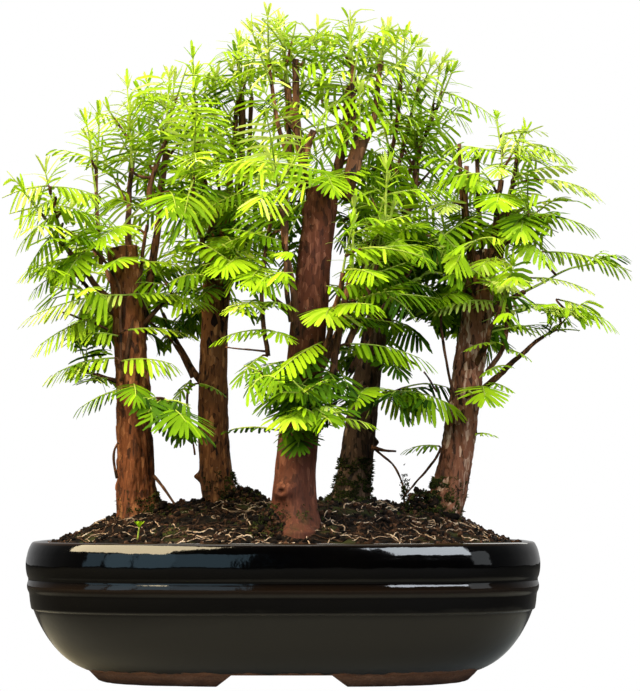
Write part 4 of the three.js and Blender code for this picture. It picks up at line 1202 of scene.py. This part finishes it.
FANS = {
    "left": [
        ((102, 257), (28, 270), (-22, -36), 15, 1), ((127, 295), (30, 317), (-31, -42), 15, 0),
        ((127, 295), (208, 304), (-31, -26), 14, 1), ((114, 358), (52, 375), (-27, -30), 14, 1),
        ((122, 361), (172, 364), (-30, -40), 14, 1), ((128, 330), (190, 335), (-30, -26), 11, 1),
        ((96, 318), (40, 345), (-24, -40), 14, 1), ((120, 390), (80, 408), (-27, -32), 10, 3),
        ((138, 402), (200, 430), (-44, -74), 20, 4), ((168, 408), (186, 422), (-56, -86), 24, 3),
        ((134, 384), (136, 397), (-32, -56), 15, 3), ((118, 336), (84, 334), (-26, -34), 12, 1),
        ((128, 258), (112, 264), (-26, -48), 15, 2), ((146, 262), (200, 274), (-24, -20), 15, 2),
        ((47, 186), (2, 198), (-50, -52), 14, 0), ((52, 187), (102, 198), (-50, -44), 14, 1),
        ((60, 212), (24, 240), (-46, -50), 13, 1), ((60, 212), (108, 220), (-46, -40), 13, 1),
        ((170, 192), (176, 208), (-20, -52), 20, 3), ((128, 225), (100, 240), (-20, -44), 16, 2),
        ((70, 268), (34, 290), (-24, -30), 12, 2), ((62, 224), (32, 262), (-44, -40), 15, 2),
        ((66, 234), (104, 244), (-44, -40), 15, 2), ((54, 198), (22, 222), (-50, -56), 15, 1),
        ((56, 206), (88, 214), (-50, -48), 15, 1), ((84, 252), (66, 276), (-36, -46), 14, 2),
        ((96, 226), (74, 238), (-24, -36), 15, 2), ((98, 196), (66, 196), (-20, -30), 16, 1),
    ],
    "back_left": [
        ((226, 236), (238, 256), (0, -30), 17, 1), ((190, 381), (178, 398), (10, 2), 8, 3),
        ((200, 384), (222, 393), (8, 0), 7, 3), ((215, 285), (200, 300), (10, -8), 14, 3),
        ((185, 248), (168, 262), (4, -14), 16, 2), ((226, 190), (204, 208), (6, -16), 17, 1),
        ((214, 166), (180, 172), (4, -10), 15, 1), ((246, 190), (230, 212), (10, 0), 18, 3),
        ((250, 226), (268, 244), (10, 4), 17, 4), ((232, 160), (256, 176), (8, -4), 17, 2),
        ((226, 262), (240, 280), (8, -6), 15, 4), ((206, 262), (186, 282), (10, 0), 15, 3),
    ],
    "centre": [
        ((333, 308), (326, 315), (-72, -100), 19, 1), ((262, 303), (232, 309), (-70, -84), 13, 1),
        ((262, 303), (290, 306), (-70, -80), 10, 1), ((262, 330), (216, 341), (-70, -80), 10, 2),
        ((262, 330), (288, 338), (-70, -84), 11, 2), ((322, 342), (262, 390), (-76, -100), 15, 2),
        ((300, 410), (292, 418), (-76, -108), 20, 1), ((326, 420), (370, 424), (-76, -84), 11, 1),
        ((302, 432), (298, 447), (-74, -96), 14, 4), ((276, 430), (226, 431), (-66, -56), 6, 4),
        ((350, 344), (426, 361), (-72, -70), 15, 2), ((368, 388), (356, 402), (-52, -78), 14, 2),
        ((361, 322), (405, 326), (-60, -48), 12, 3), ((336, 380), (304, 396), (-74, -96), 15, 4),
        ((300, 372), (262, 376), (-72, -90), 14, 4), ((346, 400), (322, 398), (-70, -92), 14, 4),
        ((264, 152), (268, 170), (-40, -70), 21, 1), ((300, 142), (262, 138), (-60, -66), 15, 1),
        ((262, 356), (240, 378), (-70, -80), 12, 3), ((262, 268), (250, 282), (-68, -92), 15, 2),
        ((334, 140), (316, 166), (-30, -44), 18, 3), ((300, 146), (322, 168), (-34, -48), 16, 3),
        ((280, 230), (214, 250), (-66, -60), 15, 3), ((244, 258), (224, 268), (-60, -84), 17, 2),
        ((256, 300), (244, 308), (-68, -84), 14, 1), ((314, 403), (330, 408), (-76, -94), 14, 1),
        ((284, 206), (262, 222), (-30, -40), 18, 3), ((296, 232), (276, 252), (-20, -26), 17, 4),
        ((290, 190), (262, 196), (-30, -30), 17, 3), ((344, 196), (362, 214), (-26, -34), 17, 3),
        ((346, 226), (364, 250), (-30, -34), 16, 4), ((300, 262), (284, 280), (-16, -26), 14, 4),
        ((352, 166), (334, 184), (-44, -58), 17, 2), ((362, 148), (392, 164), (-40, -34), 17, 2),
        ((360, 160), (380, 186), (-36, -34), 18, 3), ((330, 176), (300, 190), (-30, -24), 18, 3),
        ((304, 206), (284, 226), (-14, -6), 18, 4), ((336, 210), (352, 236), (-20, -14), 17, 3),
        ((300, 240), (290, 268), (-20, -14), 16, 3), ((312, 176), (290, 172), (-44, -50), 17, 1),
        ((322, 170), (334, 190), (-50, -74), 13, 2), ((340, 300), (352, 318), (-40, -44), 13, 3),
        ((352, 60), (328, 46), (-42, -50), 18, 1), ((352, 72), (320, 76), (-42, -52), 18, 1),
        ((354, 80), (378, 94), (-40, -48), 17, 2), ((353, 96), (328, 110), (-44, -56), 18, 2),
        ((378, 64), (404, 74), (-36, -40), 17, 1), ((380, 84), (410, 98), (-36, -44), 18, 2),
        ((376, 100), (358, 120), (-38, -52), 18, 2), ((374, 118), (400, 132), (-40, -48), 18, 2),
        ((352, 118), (326, 134), (-46, -58), 18, 2), ((364, 134), (390, 146), (-46, -56), 18, 3),
        ((360, 130), (340, 148), (-50, -64), 18, 3), ((386, 112), (414, 120), (-30, -40), 18, 2),
        ((346, 86), (316, 96), (-44, -50), 17, 2), ((370, 76), (362, 98), (-38, -50), 17, 2),
        ((318, 352), (296, 368), (-74, -86), 15, 4), ((300, 358), (284, 378), (-74, -88), 15, 4),
        ((322, 368), (338, 384), (-72, -84), 14, 4), ((310, 378), (292, 398), (-76, -90), 15, 4),
        ((326, 388), (310, 406), (-76, -92), 14, 4), ((340, 372), (350, 392), (-66, -76), 14, 4),
        ((286, 388), (268, 404), (-72, -86), 14, 4), ((298, 396), (282, 412), (-76, -94), 14, 4),
        ((336, 404), (324, 420), (-72, -86), 13, 4), ((282, 362), (258, 372), (-72, -84), 14, 4),
    ],
    "back_right": [
        ((385, 392), (450, 404), (4, -25), 20, 2), ((473, 291), (408, 270), (-4, -25), 23, 3),
        ((392, 320), (420, 338), (10, -16), 15, 4), ((380, 355), (400, 372), (10, -14), 14, 4),
        ((392, 262), (372, 280), (14, -10), 16, 3), ((424, 300), (440, 318), (10, -16), 15, 3),
        ((362, 168), (350, 194), (-20, -40), 17, 3), ((376, 178), (366, 210), (0, -20), 17, 3),
        ((392, 96), (430, 78), (0, -10), 16, 1), ((400, 120), (440, 112), (0, -16), 16, 1),
        ((443, 92), (495, 118), (8, -2), 11, 1), ((436, 104), (466, 122), (8, 0), 13, 1),
        ((376, 158), (396, 186), (10, 0), 18, 4), ((372, 196), (390, 222), (6, -6), 18, 3),
        ((356, 210), (346, 236), (4, 0), 17, 4),
    ],
    "right": [
        ((436, 240), (434, 252), (-6, -36), 19, 1), ((447, 201), (446, 209), (-10, -34), 13, 0),
        ((500, 194), (497, 204), (-16, -50), 18, 2), ((478, 176), (476, 186), (-8, -36), 13, 1),
        ((500, 164), (498, 172), (-6, -26), 11, 1), ((504, 134), (540, 132), (-6, -8), 10, 0),
        ((475, 148), (462, 152), (-8, -20), 10, 1), ((505, 137), (520, 146), (-6, -20), 11, 0),
        ((540, 180), (592, 192), (-8, -24), 16, 0), ((514, 178), (566, 166), (-6, -8), 13, 0),
        ((525, 216), (521, 232), (-12, -44), 18, 2), ((530, 214), (590, 228), (-12, -22), 13, 1),
        ((545, 252), (637, 274), (-13, -17), 12, 1), ((533, 278), (588, 290), (-18, -26), 9, 0),
        ((510, 276), (506, 284), (-26, -48), 16, 0), ((495, 302), (440, 308), (-26, -42), 12, 0),
        ((515, 306), (575, 312), (-22, -40), 12, 0), ((560, 300), (606, 320), (-14, -22), 16, 1),
        ((508, 326), (545, 331), (-22, -28), 7, 1), ((506, 349), (528, 358), (-22, -28), 6, 1),
        ((500, 343), (470, 348), (-24, -36), 8, 1), ((482, 386), (485, 398), (-24, -50), 17, 2),
        ((475, 434), (493, 435), (-14, -20), 6, 1), ((489, 383), (509, 389), (-16, -26), 8, 2),
        ((516, 152), (565, 157), (0, 0), 9, 0), ((501, 151), (468, 152), (-10, -8), 9, 1),
        ((438, 446), (408, 449), (-14, -18), 10, 3), ((520, 240), (548, 258), (-16, -36), 14, 1),
        ((462, 292), (440, 300), (-20, -44), 14, 2), ((508, 366), (486, 372), (-18, -36), 9, 2),
        ((466, 214), (452, 232), (-4, -14), 15, 2), ((488, 224), (476, 240), (-6, -20), 14, 2),
        ((496, 258), (480, 268), (-20, -40), 14, 1), ((540, 210), (560, 198), (-4, -10), 12, 1),
    ],
}
SHOOTS = {
    "left": [
        ((68, 252), (45, 170), (-36, -50), 23, 0), ((96, 168), (99, 114), (-14, -12), 21, 1),
        ((132, 168), (127, 84), (-18, -10), 20, 0), ((150, 165), (148, 82), (-12, 0), 19, 1),
        ((164, 142), (169, 76), (-14, -14), 20, 0), ((92, 160), (86, 122), (-20, -26), 21, 1),
    ],
    "back_left": [
        ((241, 92), (239, 50), (14, 4), 21, 0), ((195, 102), (194, 74), (8, 6), 20, 1),
        ((214, 150), (216, 76), (4, 2), 20, 1), ((252, 97), (246, 34), (22, 16), 20, 0),
    ],
    "centre": [
        ((286, 70), (284, 14), (-34, -30), 21, 0), ((270, 62), (262, 34), (-44, -44), 19, 0),
        ((303, 62), (318, 28), (-42, -34), 20, 0), ((350, 62), (350, 10), (-42, -40), 22, 0),
        ((352, 275), (354, 206), (-70, -74), 19, 0), ((383, 246), (387, 168), (-62, -66), 24, 1),
        ((364, 275), (372, 238), (-68, -72), 14, 1), ((380, 62), (384, 38), (-36, -34), 20, 0),
        ((322, 100), (326, 40), (-30, -20), 20, 1),
    ],
    "back_right": [
        ((402, 72), (412, 44), (-10, -10), 19, 1), ((419, 86), (420, 62), (4, 0), 19, 1),
        ((438, 104), (446, 74), (10, 8), 17, 1), ((400, 100), (396, 40), (0, -10), 20, 1),
    ],
    "right": [((503, 150), (497, 117), (-6, -6), 11, 1), ((518, 152), (522, 132), (-2, -4), 10, 1)],
}
STICK_STEPS = 16
STICK_WANDER = 0.6
LAX_ABOVE = 150
SHORT_FAN = 32
FAN_ARCH = 0.13
SHOOT_WANDER = 2.5
GLOW_SHARE = 0.35


def through(points, steps):
    """A smooth line through points, by evenly spaced shares of their run."""
    points = np.array(points, dtype=float)
    for _ in range(3):
        cut = [points[0]]
        for a, b in zip(points, points[1:]):
            cut += [0.75 * a + 0.25 * b, 0.25 * a + 0.75 * b]
        points = np.array(cut + [points[-1]])
    run = np.concatenate([[0], np.cumsum(np.linalg.norm(np.diff(points, axis=0), axis=1))])
    at = np.linspace(0, run[-1], steps)
    return np.stack([np.interp(at, run, points[:, k]) for k in range(3)], axis=1)


def grow_stick(growth, rng, spots, depths, radii, ending):
    """A brown twig through spots of the picture; a cut one ends flat, and a shoot carries on upwards."""
    spots = [seen_at(*spot, y) for spot, y in zip(spots, np.linspace(*depths, len(spots)))]
    line = through(spots, STICK_STEPS)
    line[1:] += [STICK_WANDER * np.array(noise.noise_vector(p / 9)) for p in line[1:]]
    growth["lines"].append(line)
    add_tube(growth["wood"], line, np.linspace(*radii, STICK_STEPS), 8, 0.22)
    if ending == "bare":
        return
    for k in range(2 if ending == "shoot" else 1):
        root, head = along_line(line, 0.98 if k == 0 and ending == "shoot" else rng.uniform(0.6, 0.9))
        lean = unit(head + 0.35 * rng.normal(size=3) * (1, 1, 0.2))
        shoot = drooping_line(root, lean, rng.uniform(26, 42), -0.1)
        if len(shoot) > 5:
            add_shoot(growth, rng, shoot, rng.uniform(16, 20), int(rng.choice([0, 0, 1])))


def nearest_wood(growth, trunk, point):
    """The nearest place on a trunk or a limb, not much above a point."""
    spots = [p for line in growth["lines"] for p in line]
    spots += [trunk_point(trunk, share) for share in np.linspace(0.2, 1, 60)]
    spots = np.array(spots)
    away = np.linalg.norm(spots - point, axis=1) + 4 * np.clip(spots[:, 2] - point[2] + 2, 0, None)
    return spots[np.argmin(away)]


def join_twig(growth, trunk, root, along, radius):
    """A thin twig from the nearest wood that runs into a root in the way its spray or shoot goes on."""
    start = nearest_wood(growth, trunk, root)
    gap = np.linalg.norm(root - start)
    if gap > 1:
        twig = bend(start, root - along * min(0.45 * gap, 12), root, 8)
        add_tube(growth["wood"], twig, np.linspace(radius, 0.6 * radius, len(twig)), 6)


def grow_fan(growth, rng, trunk, root, tip, depths, needle, tint):
    """A spray from one spot of the picture to another, joined by a thin twig."""
    style = "umbrella" if math.dist(root, tip) < SHORT_FAN else "fan"
    if root[1] < LAX_ABOVE:
        style = "lax"
    root, tip = seen_at(*root, depths[0]), seen_at(*tip, depths[1])
    reach = np.linalg.norm(tip - root)
    join_twig(growth, trunk, root, unit(tip - root), 0.8)
    line = bend(root, (root + tip) / 2 + UP * FAN_ARCH * reach, tip, 10)
    add_spray(growth, rng, line, UP + 0.15 * rng.uniform(-1, 1, 3), needle, tint, style)


def grow_shoot(growth, rng, trunk, foot, tip, depths, needle, tint):
    """A young shoot from one spot of the picture to another, joined by a thin twig."""
    foot, tip = seen_at(*foot, depths[0]), seen_at(*tip, depths[1])
    join_twig(growth, trunk, foot, unit(tip - foot), 1.1)
    bow = (foot + tip) / 2 + SHOOT_WANDER * np.array(noise.noise_vector(foot / 30))
    line = bend(foot, bow, tip, 14)
    growth["lines"].append(line)
    add_shoot(growth, rng, line, needle, tint, 1.0, 4.6)


def needle_material(name, colour):
    """Soft flat needles that let some light through, in one green."""
    made, tree, shader = new_material(name, Roughness=0.6, Specular_IOR_Level=0.07)
    place = place_node(tree)
    tones = [(0.35, tuple(0.86 * c for c in colour)), (0.65, tuple(1.12 * c for c in colour))]
    green = ramp(tree, grain(tree, place, 55.0, 2.0), tones)
    tree.links.new(green, shader.inputs["Base Color"])
    glow = node(tree, "ShaderNodeBsdfTranslucent", {"Color": green})
    mixed = node(tree, "ShaderNodeMixShader", {0: GLOW_SHARE, 1: shader.outputs[0], 2: glow.outputs[0]})
    tree.links.new(mixed.outputs[0], tree.nodes["Material Output"].inputs["Surface"])
    return made


NEEDLE_PAINT = {name: needle_material(f"{name}_needles", colour) for name, colour in GREENS.items()}
STALK_PAINT = needle_material("green_stalk", (0.36, 0.46, 0.07))
TWIG_BARK = bark_material(
    "twig_bark", (0.012, 0.006, 0.003), (0.085, 0.034, 0.015), (0.24, 0.105, 0.050), (0.24, 0.17, 0.11),
)
FANS_TO = {"left": 285, "back_left": 285, "centre": 300, "back_right": 300, "right": 330}
GROWTH_SEED = 400
STRAP_STARTS = [3 * k + side for k in range(len(NEEDLE_STATIONS) - 1) for side in (0, 1)]
STRAP_FACES = np.array([(start, start + 1, start + 4, start + 3) for start in STRAP_STARTS])


def strap_piece(name, straps, paint):
    """Needles or leaves as one mesh of creased straps."""
    points = straps.shape[1] * straps.shape[2]
    faces = STRAP_FACES[None] + points * np.arange(len(straps))[:, None, None]
    made = piece_mesh(name, straps.reshape(-1, 3), faces.reshape(-1, 4).tolist())
    made.data.materials.append(paint)
    return made


for index, (name, trunk) in enumerate(TRUNKS.items()):
    rng = np.random.default_rng(GROWTH_SEED + index)
    growth = new_growth()
    for limb, row in LIMBS[name].items():
        grow_limb(growth, rng, trunk, f"{name}_{limb}", row, FANS_TO[name])
    growth["by_rule"] = False
    for stick in STICKS[name]:
        grow_stick(growth, rng, *stick)
    for shoot in SHOOTS[name]:
        grow_shoot(growth, rng, trunk, *shoot)
    for fan in FANS[name]:
        grow_fan(growth, rng, trunk, *fan)
    boughs = [f"{name}_{limb}_bough" for limb, row in LIMBS[name].items() if row[5] > 0]
    masses = [f"{name}_{limb}_foliage" for limb in LIMBS[name]]
    for part, paint, slot, nodes in [
        ("wood", TWIG_BARK, "bark", boughs + masses), ("stalks", STALK_PAINT, "needles", masses),
    ]:
        store = growth[part]
        made = piece_mesh(f"{name}_{part}", store["points"], store["faces"])
        made.data.materials.append(paint)
        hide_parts(*nodes)
        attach(made, "root")
    for green, straps in growth["needles"].items():
        if not straps:
            continue
        made = strap_piece(f"{name}_{green}_needles", np.concatenate(straps), NEEDLE_PAINT[green])
        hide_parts(*masses)
        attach(made, "root")

# Ground cover
# Crumbs of soil, pale old roots that lie in loops, thick surface roots at the feet of the trunks, clumps
# of old root and moss against the wettest feet, and one seedling at the front left.
CRUMB_COUNT = 4200
CRUMBS_IN_CLUMP = 1.6
BROWN_SHARE = 0.4
ROOT_COUNT = 560
ROOT_HOPS = 13
ROOT_HALF = (139, 102)
FRONT_SHARE = 0.6
PALE_SHARE = 0.34
SURFACE_HOPS = 11
# A surface root is its turn in degrees, its length and its radius. Moss at a foot is its turn, its reach up
# the trunk and its count of spikes; a bed is x, y, size and count, and a clump is x, y, reach and rise.
SURFACE_ROOTS = {
    "left": [(-60, 22, 3.4), (-150, 20, 3.2), (20, 26, 3.6), (110, 24, 3.4)],
    "back_left": [(0, 34, 6.0), (-40, 26, 4.4), (180, 22, 3.6), (90, 26, 4.0)],
    "centre": [(-115, 20, 4.6), (-50, 20, 4.2), (170, 26, 4.0), (10, 24, 3.8), (80, 26, 4.0)],
    "back_right": [(-60, 22, 4.0), (-130, 20, 4.0), (20, 26, 4.0), (110, 22, 3.6)],
    "right": [(-100, 22, 3.8), (-165, 24, 4.2), (-30, 20, 3.4), (80, 24, 3.6)],
}
MOSS_FEET = {
    "left": (-20, 0.08, 480), "back_left": (-5, 0.1, 900), "centre": (-150, 0.05, 260),
    "back_right": (-90, 0.2, 2200), "right": (215, 0.14, 2300),
}
MOSS_KNOT = (405, 490)
MOSS_BEDS = [
    (-58, -26, 15, 500), (41, 12, 16, 600), (76, -24, 12, 420), (-30, 8, 10, 260), (-66, -72, 9, 160),
]
CLUMPS = [(-8, -76, 12, 13), (82, -20, 14, 14), (-24, 12, 14, 8), (-72, -24, 9, 5), (98, -26, 8, 5)]
SPIKES_IN_CLUMP = 2.6
KNOT_SPIKES = 150
KNOT_SPREAD = (1.3, 1.3, 4.2)
SEEDLING_AT = (-80, -80)
LEAF_TURNS = [20, 110, 205, 290]
LEAF_LENGTH = 5.5
LEAF_WIDTH = 2.1
LEAF_SAG = 1.2
EARTHS = {
    "dark_earth": [(0.0005, 0.0003, 0.0002), (0.002, 0.001, 0.0006), (0.014, 0.008, 0.005)],
    "brown_earth": [(0.003, 0.0015, 0.0008), (0.018, 0.008, 0.004), (0.10, 0.048, 0.027)],
    "pale_root": [(0.05, 0.028, 0.016), (0.22, 0.15, 0.10), (0.58, 0.48, 0.37)],
    "dark_root": [(0.005, 0.0025, 0.0015), (0.022, 0.011, 0.006), (0.085, 0.045, 0.026)],
    "moss": [(0.004, 0.006, 0.001), (0.016, 0.022, 0.004), (0.070, 0.080, 0.014)],
}
EARTH_PAINT = {name: earth_material(name, *tones) for name, tones in EARTHS.items()}
GROUND_SEED = 71
ground_rng = np.random.default_rng(GROUND_SEED)


def add_shapes(store, shapes, faces):
    """Many small closed shapes with the same faces, added to a store."""
    for shape in shapes:
        store["faces"] += [tuple(store["count"] + i for i in face) for face in faces]
        store["points"] += list(shape)
        store["count"] += len(shape)


def on_soil():
    """A random place on the soil inside the rim."""
    while True:
        x = ground_rng.uniform(-1, 1) * (SOIL_HALF[0] - 1)
        y = ground_rng.uniform(-1, 1) * (SOIL_HALF[1] - 1)
        if edge_share(x, y, SOIL_HALF) < 0.96:
            return x, y


def on_clump(x, y, reach, rise):
    """A random place on a low clump against a trunk's foot."""
    turn, share = ground_rng.uniform(0, 2 * math.pi), math.sqrt(ground_rng.random())
    px, py = x + reach * share * math.cos(turn), y + 0.7 * reach * share * math.sin(turn)
    lift = rise * (1 - share ** 1.6) * ground_rng.uniform(0.75, 1.0)
    return np.array([px, py, soil_surface(px, py) + lift])


def ground_piece(name, store, paint):
    """A piece of the ground cover from its store, in its material."""
    made = piece_mesh(name, store["points"], store["faces"])
    made.data.materials.append(paint)
    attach(made, "root")


golden = (1 + math.sqrt(5)) / 2
ball = [(0, a, b * golden) for a in (-1, 1) for b in (-1, 1)]
ball = ball + [(y, z, x) for x, y, z in ball] + [(z, x, y) for x, y, z in ball]
ball = np.array(ball) / math.sqrt(1 + golden ** 2)
ball_faces = []
for i, j, k in itertools.combinations(range(12), 3):
    sides = [np.linalg.norm(ball[a] - ball[b]) for a, b in ((i, j), (j, k), (k, i))]
    if max(sides) < 1.1:
        out = np.dot(np.cross(ball[j] - ball[i], ball[k] - ball[i]), ball[i] + ball[j] + ball[k])
        ball_faces.append((i, j, k) if out > 0 else (i, k, j))

crumbs = {"dark_crumbs": new_store(), "brown_crumbs": new_store()}
places = [on_soil() for _ in range(CRUMB_COUNT)]
places = [(x, y, soil_surface(x, y)) for x, y in places]
for clump in CLUMPS:
    places += [on_clump(*clump) for _ in range(int(CRUMBS_IN_CLUMP * clump[2] * clump[3]))]
for x, y, z in places:
    size = 0.5 + 1.9 * ground_rng.random() ** 2.6
    squash = ground_rng.uniform(0.6, 1.2, 3) * size
    shape = ball * squash * ground_rng.uniform(0.8, 1.15, (12, 1))
    spin = ground_rng.uniform(0, 2 * math.pi)
    cos, sin = math.cos(spin), math.sin(spin)
    shape = shape @ np.array([[cos, -sin, 0], [sin, cos, 0], [0, 0, 1]]).T + (x, y, z + 0.25 * size)
    kind = "brown_crumbs" if ground_rng.random() < BROWN_SHARE else "dark_crumbs"
    add_shapes(crumbs[kind], [shape], ball_faces)
ground_piece("dark_crumbs", crumbs["dark_crumbs"], EARTH_PAINT["dark_earth"])
ground_piece("brown_crumbs", crumbs["brown_crumbs"], EARTH_PAINT["brown_earth"])

pale_roots, dark_roots = new_store(), new_store()
for _ in range(ROOT_COUNT):
    x, y = on_soil()
    if ground_rng.random() < FRONT_SHARE:
        y = -abs(y)
    aim, curl = ground_rng.uniform(0, 2 * math.pi), ground_rng.normal() * 0.16
    length, radius = 9 + 44 * ground_rng.random() ** 1.7, ground_rng.uniform(0.18, 0.46)
    line = []
    for k in range(ROOT_HOPS + 1):
        hop = 0.9 * math.sin(math.pi * k / ROOT_HOPS) * ground_rng.uniform(0.4, 1.0)
        if edge_share(x, y, ROOT_HALF) > 1:
            break
        line.append((x, y, soil_surface(x, y) + radius * 0.6 + hop))
        aim += curl + ground_rng.normal() * 0.2
        x, y = x + math.cos(aim) * length / ROOT_HOPS, y + math.sin(aim) * length / ROOT_HOPS
    if len(line) > 5:
        thin = radius * np.linspace(1.15, 0.55, len(line))
        add_tube(pale_roots if ground_rng.random() < PALE_SHARE else dark_roots, line, thin, 5)
for name, roots in SURFACE_ROOTS.items():
    trunk = TRUNKS[name]
    for turn, length, radius in roots:
        aim, line = math.radians(turn), []
        x, y = trunk["foot"]
        for k in range(SURFACE_HOPS + 1):
            share = k / SURFACE_HOPS
            z = soil_height(x, y) + radius * (1.2 - 2.3 * share) - 0.6
            line.append((x, y, z))
            aim += ground_rng.normal() * 0.13
            x, y = x + math.cos(aim) * length / SURFACE_HOPS, y + math.sin(aim) * length / SURFACE_HOPS
        add_tube(dark_roots, line, radius * np.linspace(1.3, 0.35, len(line)), 12, 0.5)
ground_piece("pale_roots", pale_roots, EARTH_PAINT["pale_root"])
ground_piece("dark_roots", dark_roots, EARTH_PAINT["dark_root"])


def moss_spike(at, out):
    """A three-sided spike of moss."""
    size = ground_rng.uniform(0.7, 1.9)
    aim = unit(out + 0.5 * ground_rng.normal(size=3))
    side = unit(np.cross(aim, (0.3, 0.5, 0.2)))
    over = np.cross(aim, side)
    turns = [0, 2 * math.pi / 3, 4 * math.pi / 3]
    foot = [at - 0.4 * out + 0.5 * (math.cos(a) * side + math.sin(a) * over) for a in turns]
    return np.array(foot + [at + size * aim])


moss = new_store()
spike_faces = [(2, 1, 0), (0, 1, 3), (1, 2, 3), (2, 0, 3)]
for name, (turn, reach, count) in MOSS_FEET.items():
    trunk = TRUNKS[name]
    for _ in range(count):
        share = 0.02 + reach * ground_rng.random() ** 1.6
        angle = math.radians(turn + ground_rng.normal() * 55)
        if noise.noise((angle * 2.2, share * 40, len(name))) < -0.12:
            continue
        out = np.array([math.cos(angle), math.sin(angle), 0.15])
        at = trunk_point(trunk, share) + (trunk_radius(trunk, share, angle) + 0.4) * out
        add_shapes(moss, [moss_spike(at, out)], spike_faces)
for clump in CLUMPS:
    places = [on_clump(*clump) for _ in range(int(SPIKES_IN_CLUMP * clump[2] * clump[3]))]
    spikes = [moss_spike(at, unit(at - (clump[0], clump[1], at[2] - 6))) for at in places]
    add_shapes(moss, spikes, spike_faces)
knot = seen_at(*MOSS_KNOT, 1.0) + ground_rng.normal(size=(KNOT_SPIKES, 3)) * KNOT_SPREAD
add_shapes(moss, [moss_spike(at, UP) for at in knot], spike_faces)
for x, y, size, count in MOSS_BEDS:
    for _ in range(count):
        px, py = x + size * 0.5 * ground_rng.normal(), y + size * 0.5 * ground_rng.normal()
        if noise.noise((px / 5, py / 5, 2)) > -0.1:
            at = np.array([px, py, soil_surface(px, py)])
            add_shapes(moss, [moss_spike(at, UP)], spike_faces)
ground_piece("moss_tufts", moss, EARTH_PAINT["moss"])

seedling = new_growth()
foot = np.array([*SEEDLING_AT, soil_height(*SEEDLING_AT)])
stem = bend(foot, foot + (0.5, -0.5, 4), foot + (1, -1.5, 7), 5)
add_tube(seedling["stalks"], stem, np.linspace(0.5, 0.35, len(stem)), 5)
ground_piece("seedling_stem", seedling["stalks"], STALK_PAINT)
turns = np.radians(LEAF_TURNS)
outs = unit(np.stack([np.cos(turns), np.sin(turns), 1.5 + 0 * turns], axis=1))
spine = stem[-1] + outs[:, None] * (LEAF_LENGTH * NEEDLE_STATIONS)[None, :, None]
spine[..., 2] -= LEAF_SAG * NEEDLE_STATIONS ** 2
across = unit(np.cross(outs, UP))[:, None] * (LEAF_WIDTH * NEEDLE_WIDTHS)[None, :, None] / 2
leaves = np.stack([spine + across, spine - (0, 0, 0.4), spine - across], axis=2)
seedling_leaves = strap_piece("seedling_leaves", leaves, NEEDLE_PAINT["fresh"])
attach(seedling_leaves, "root")
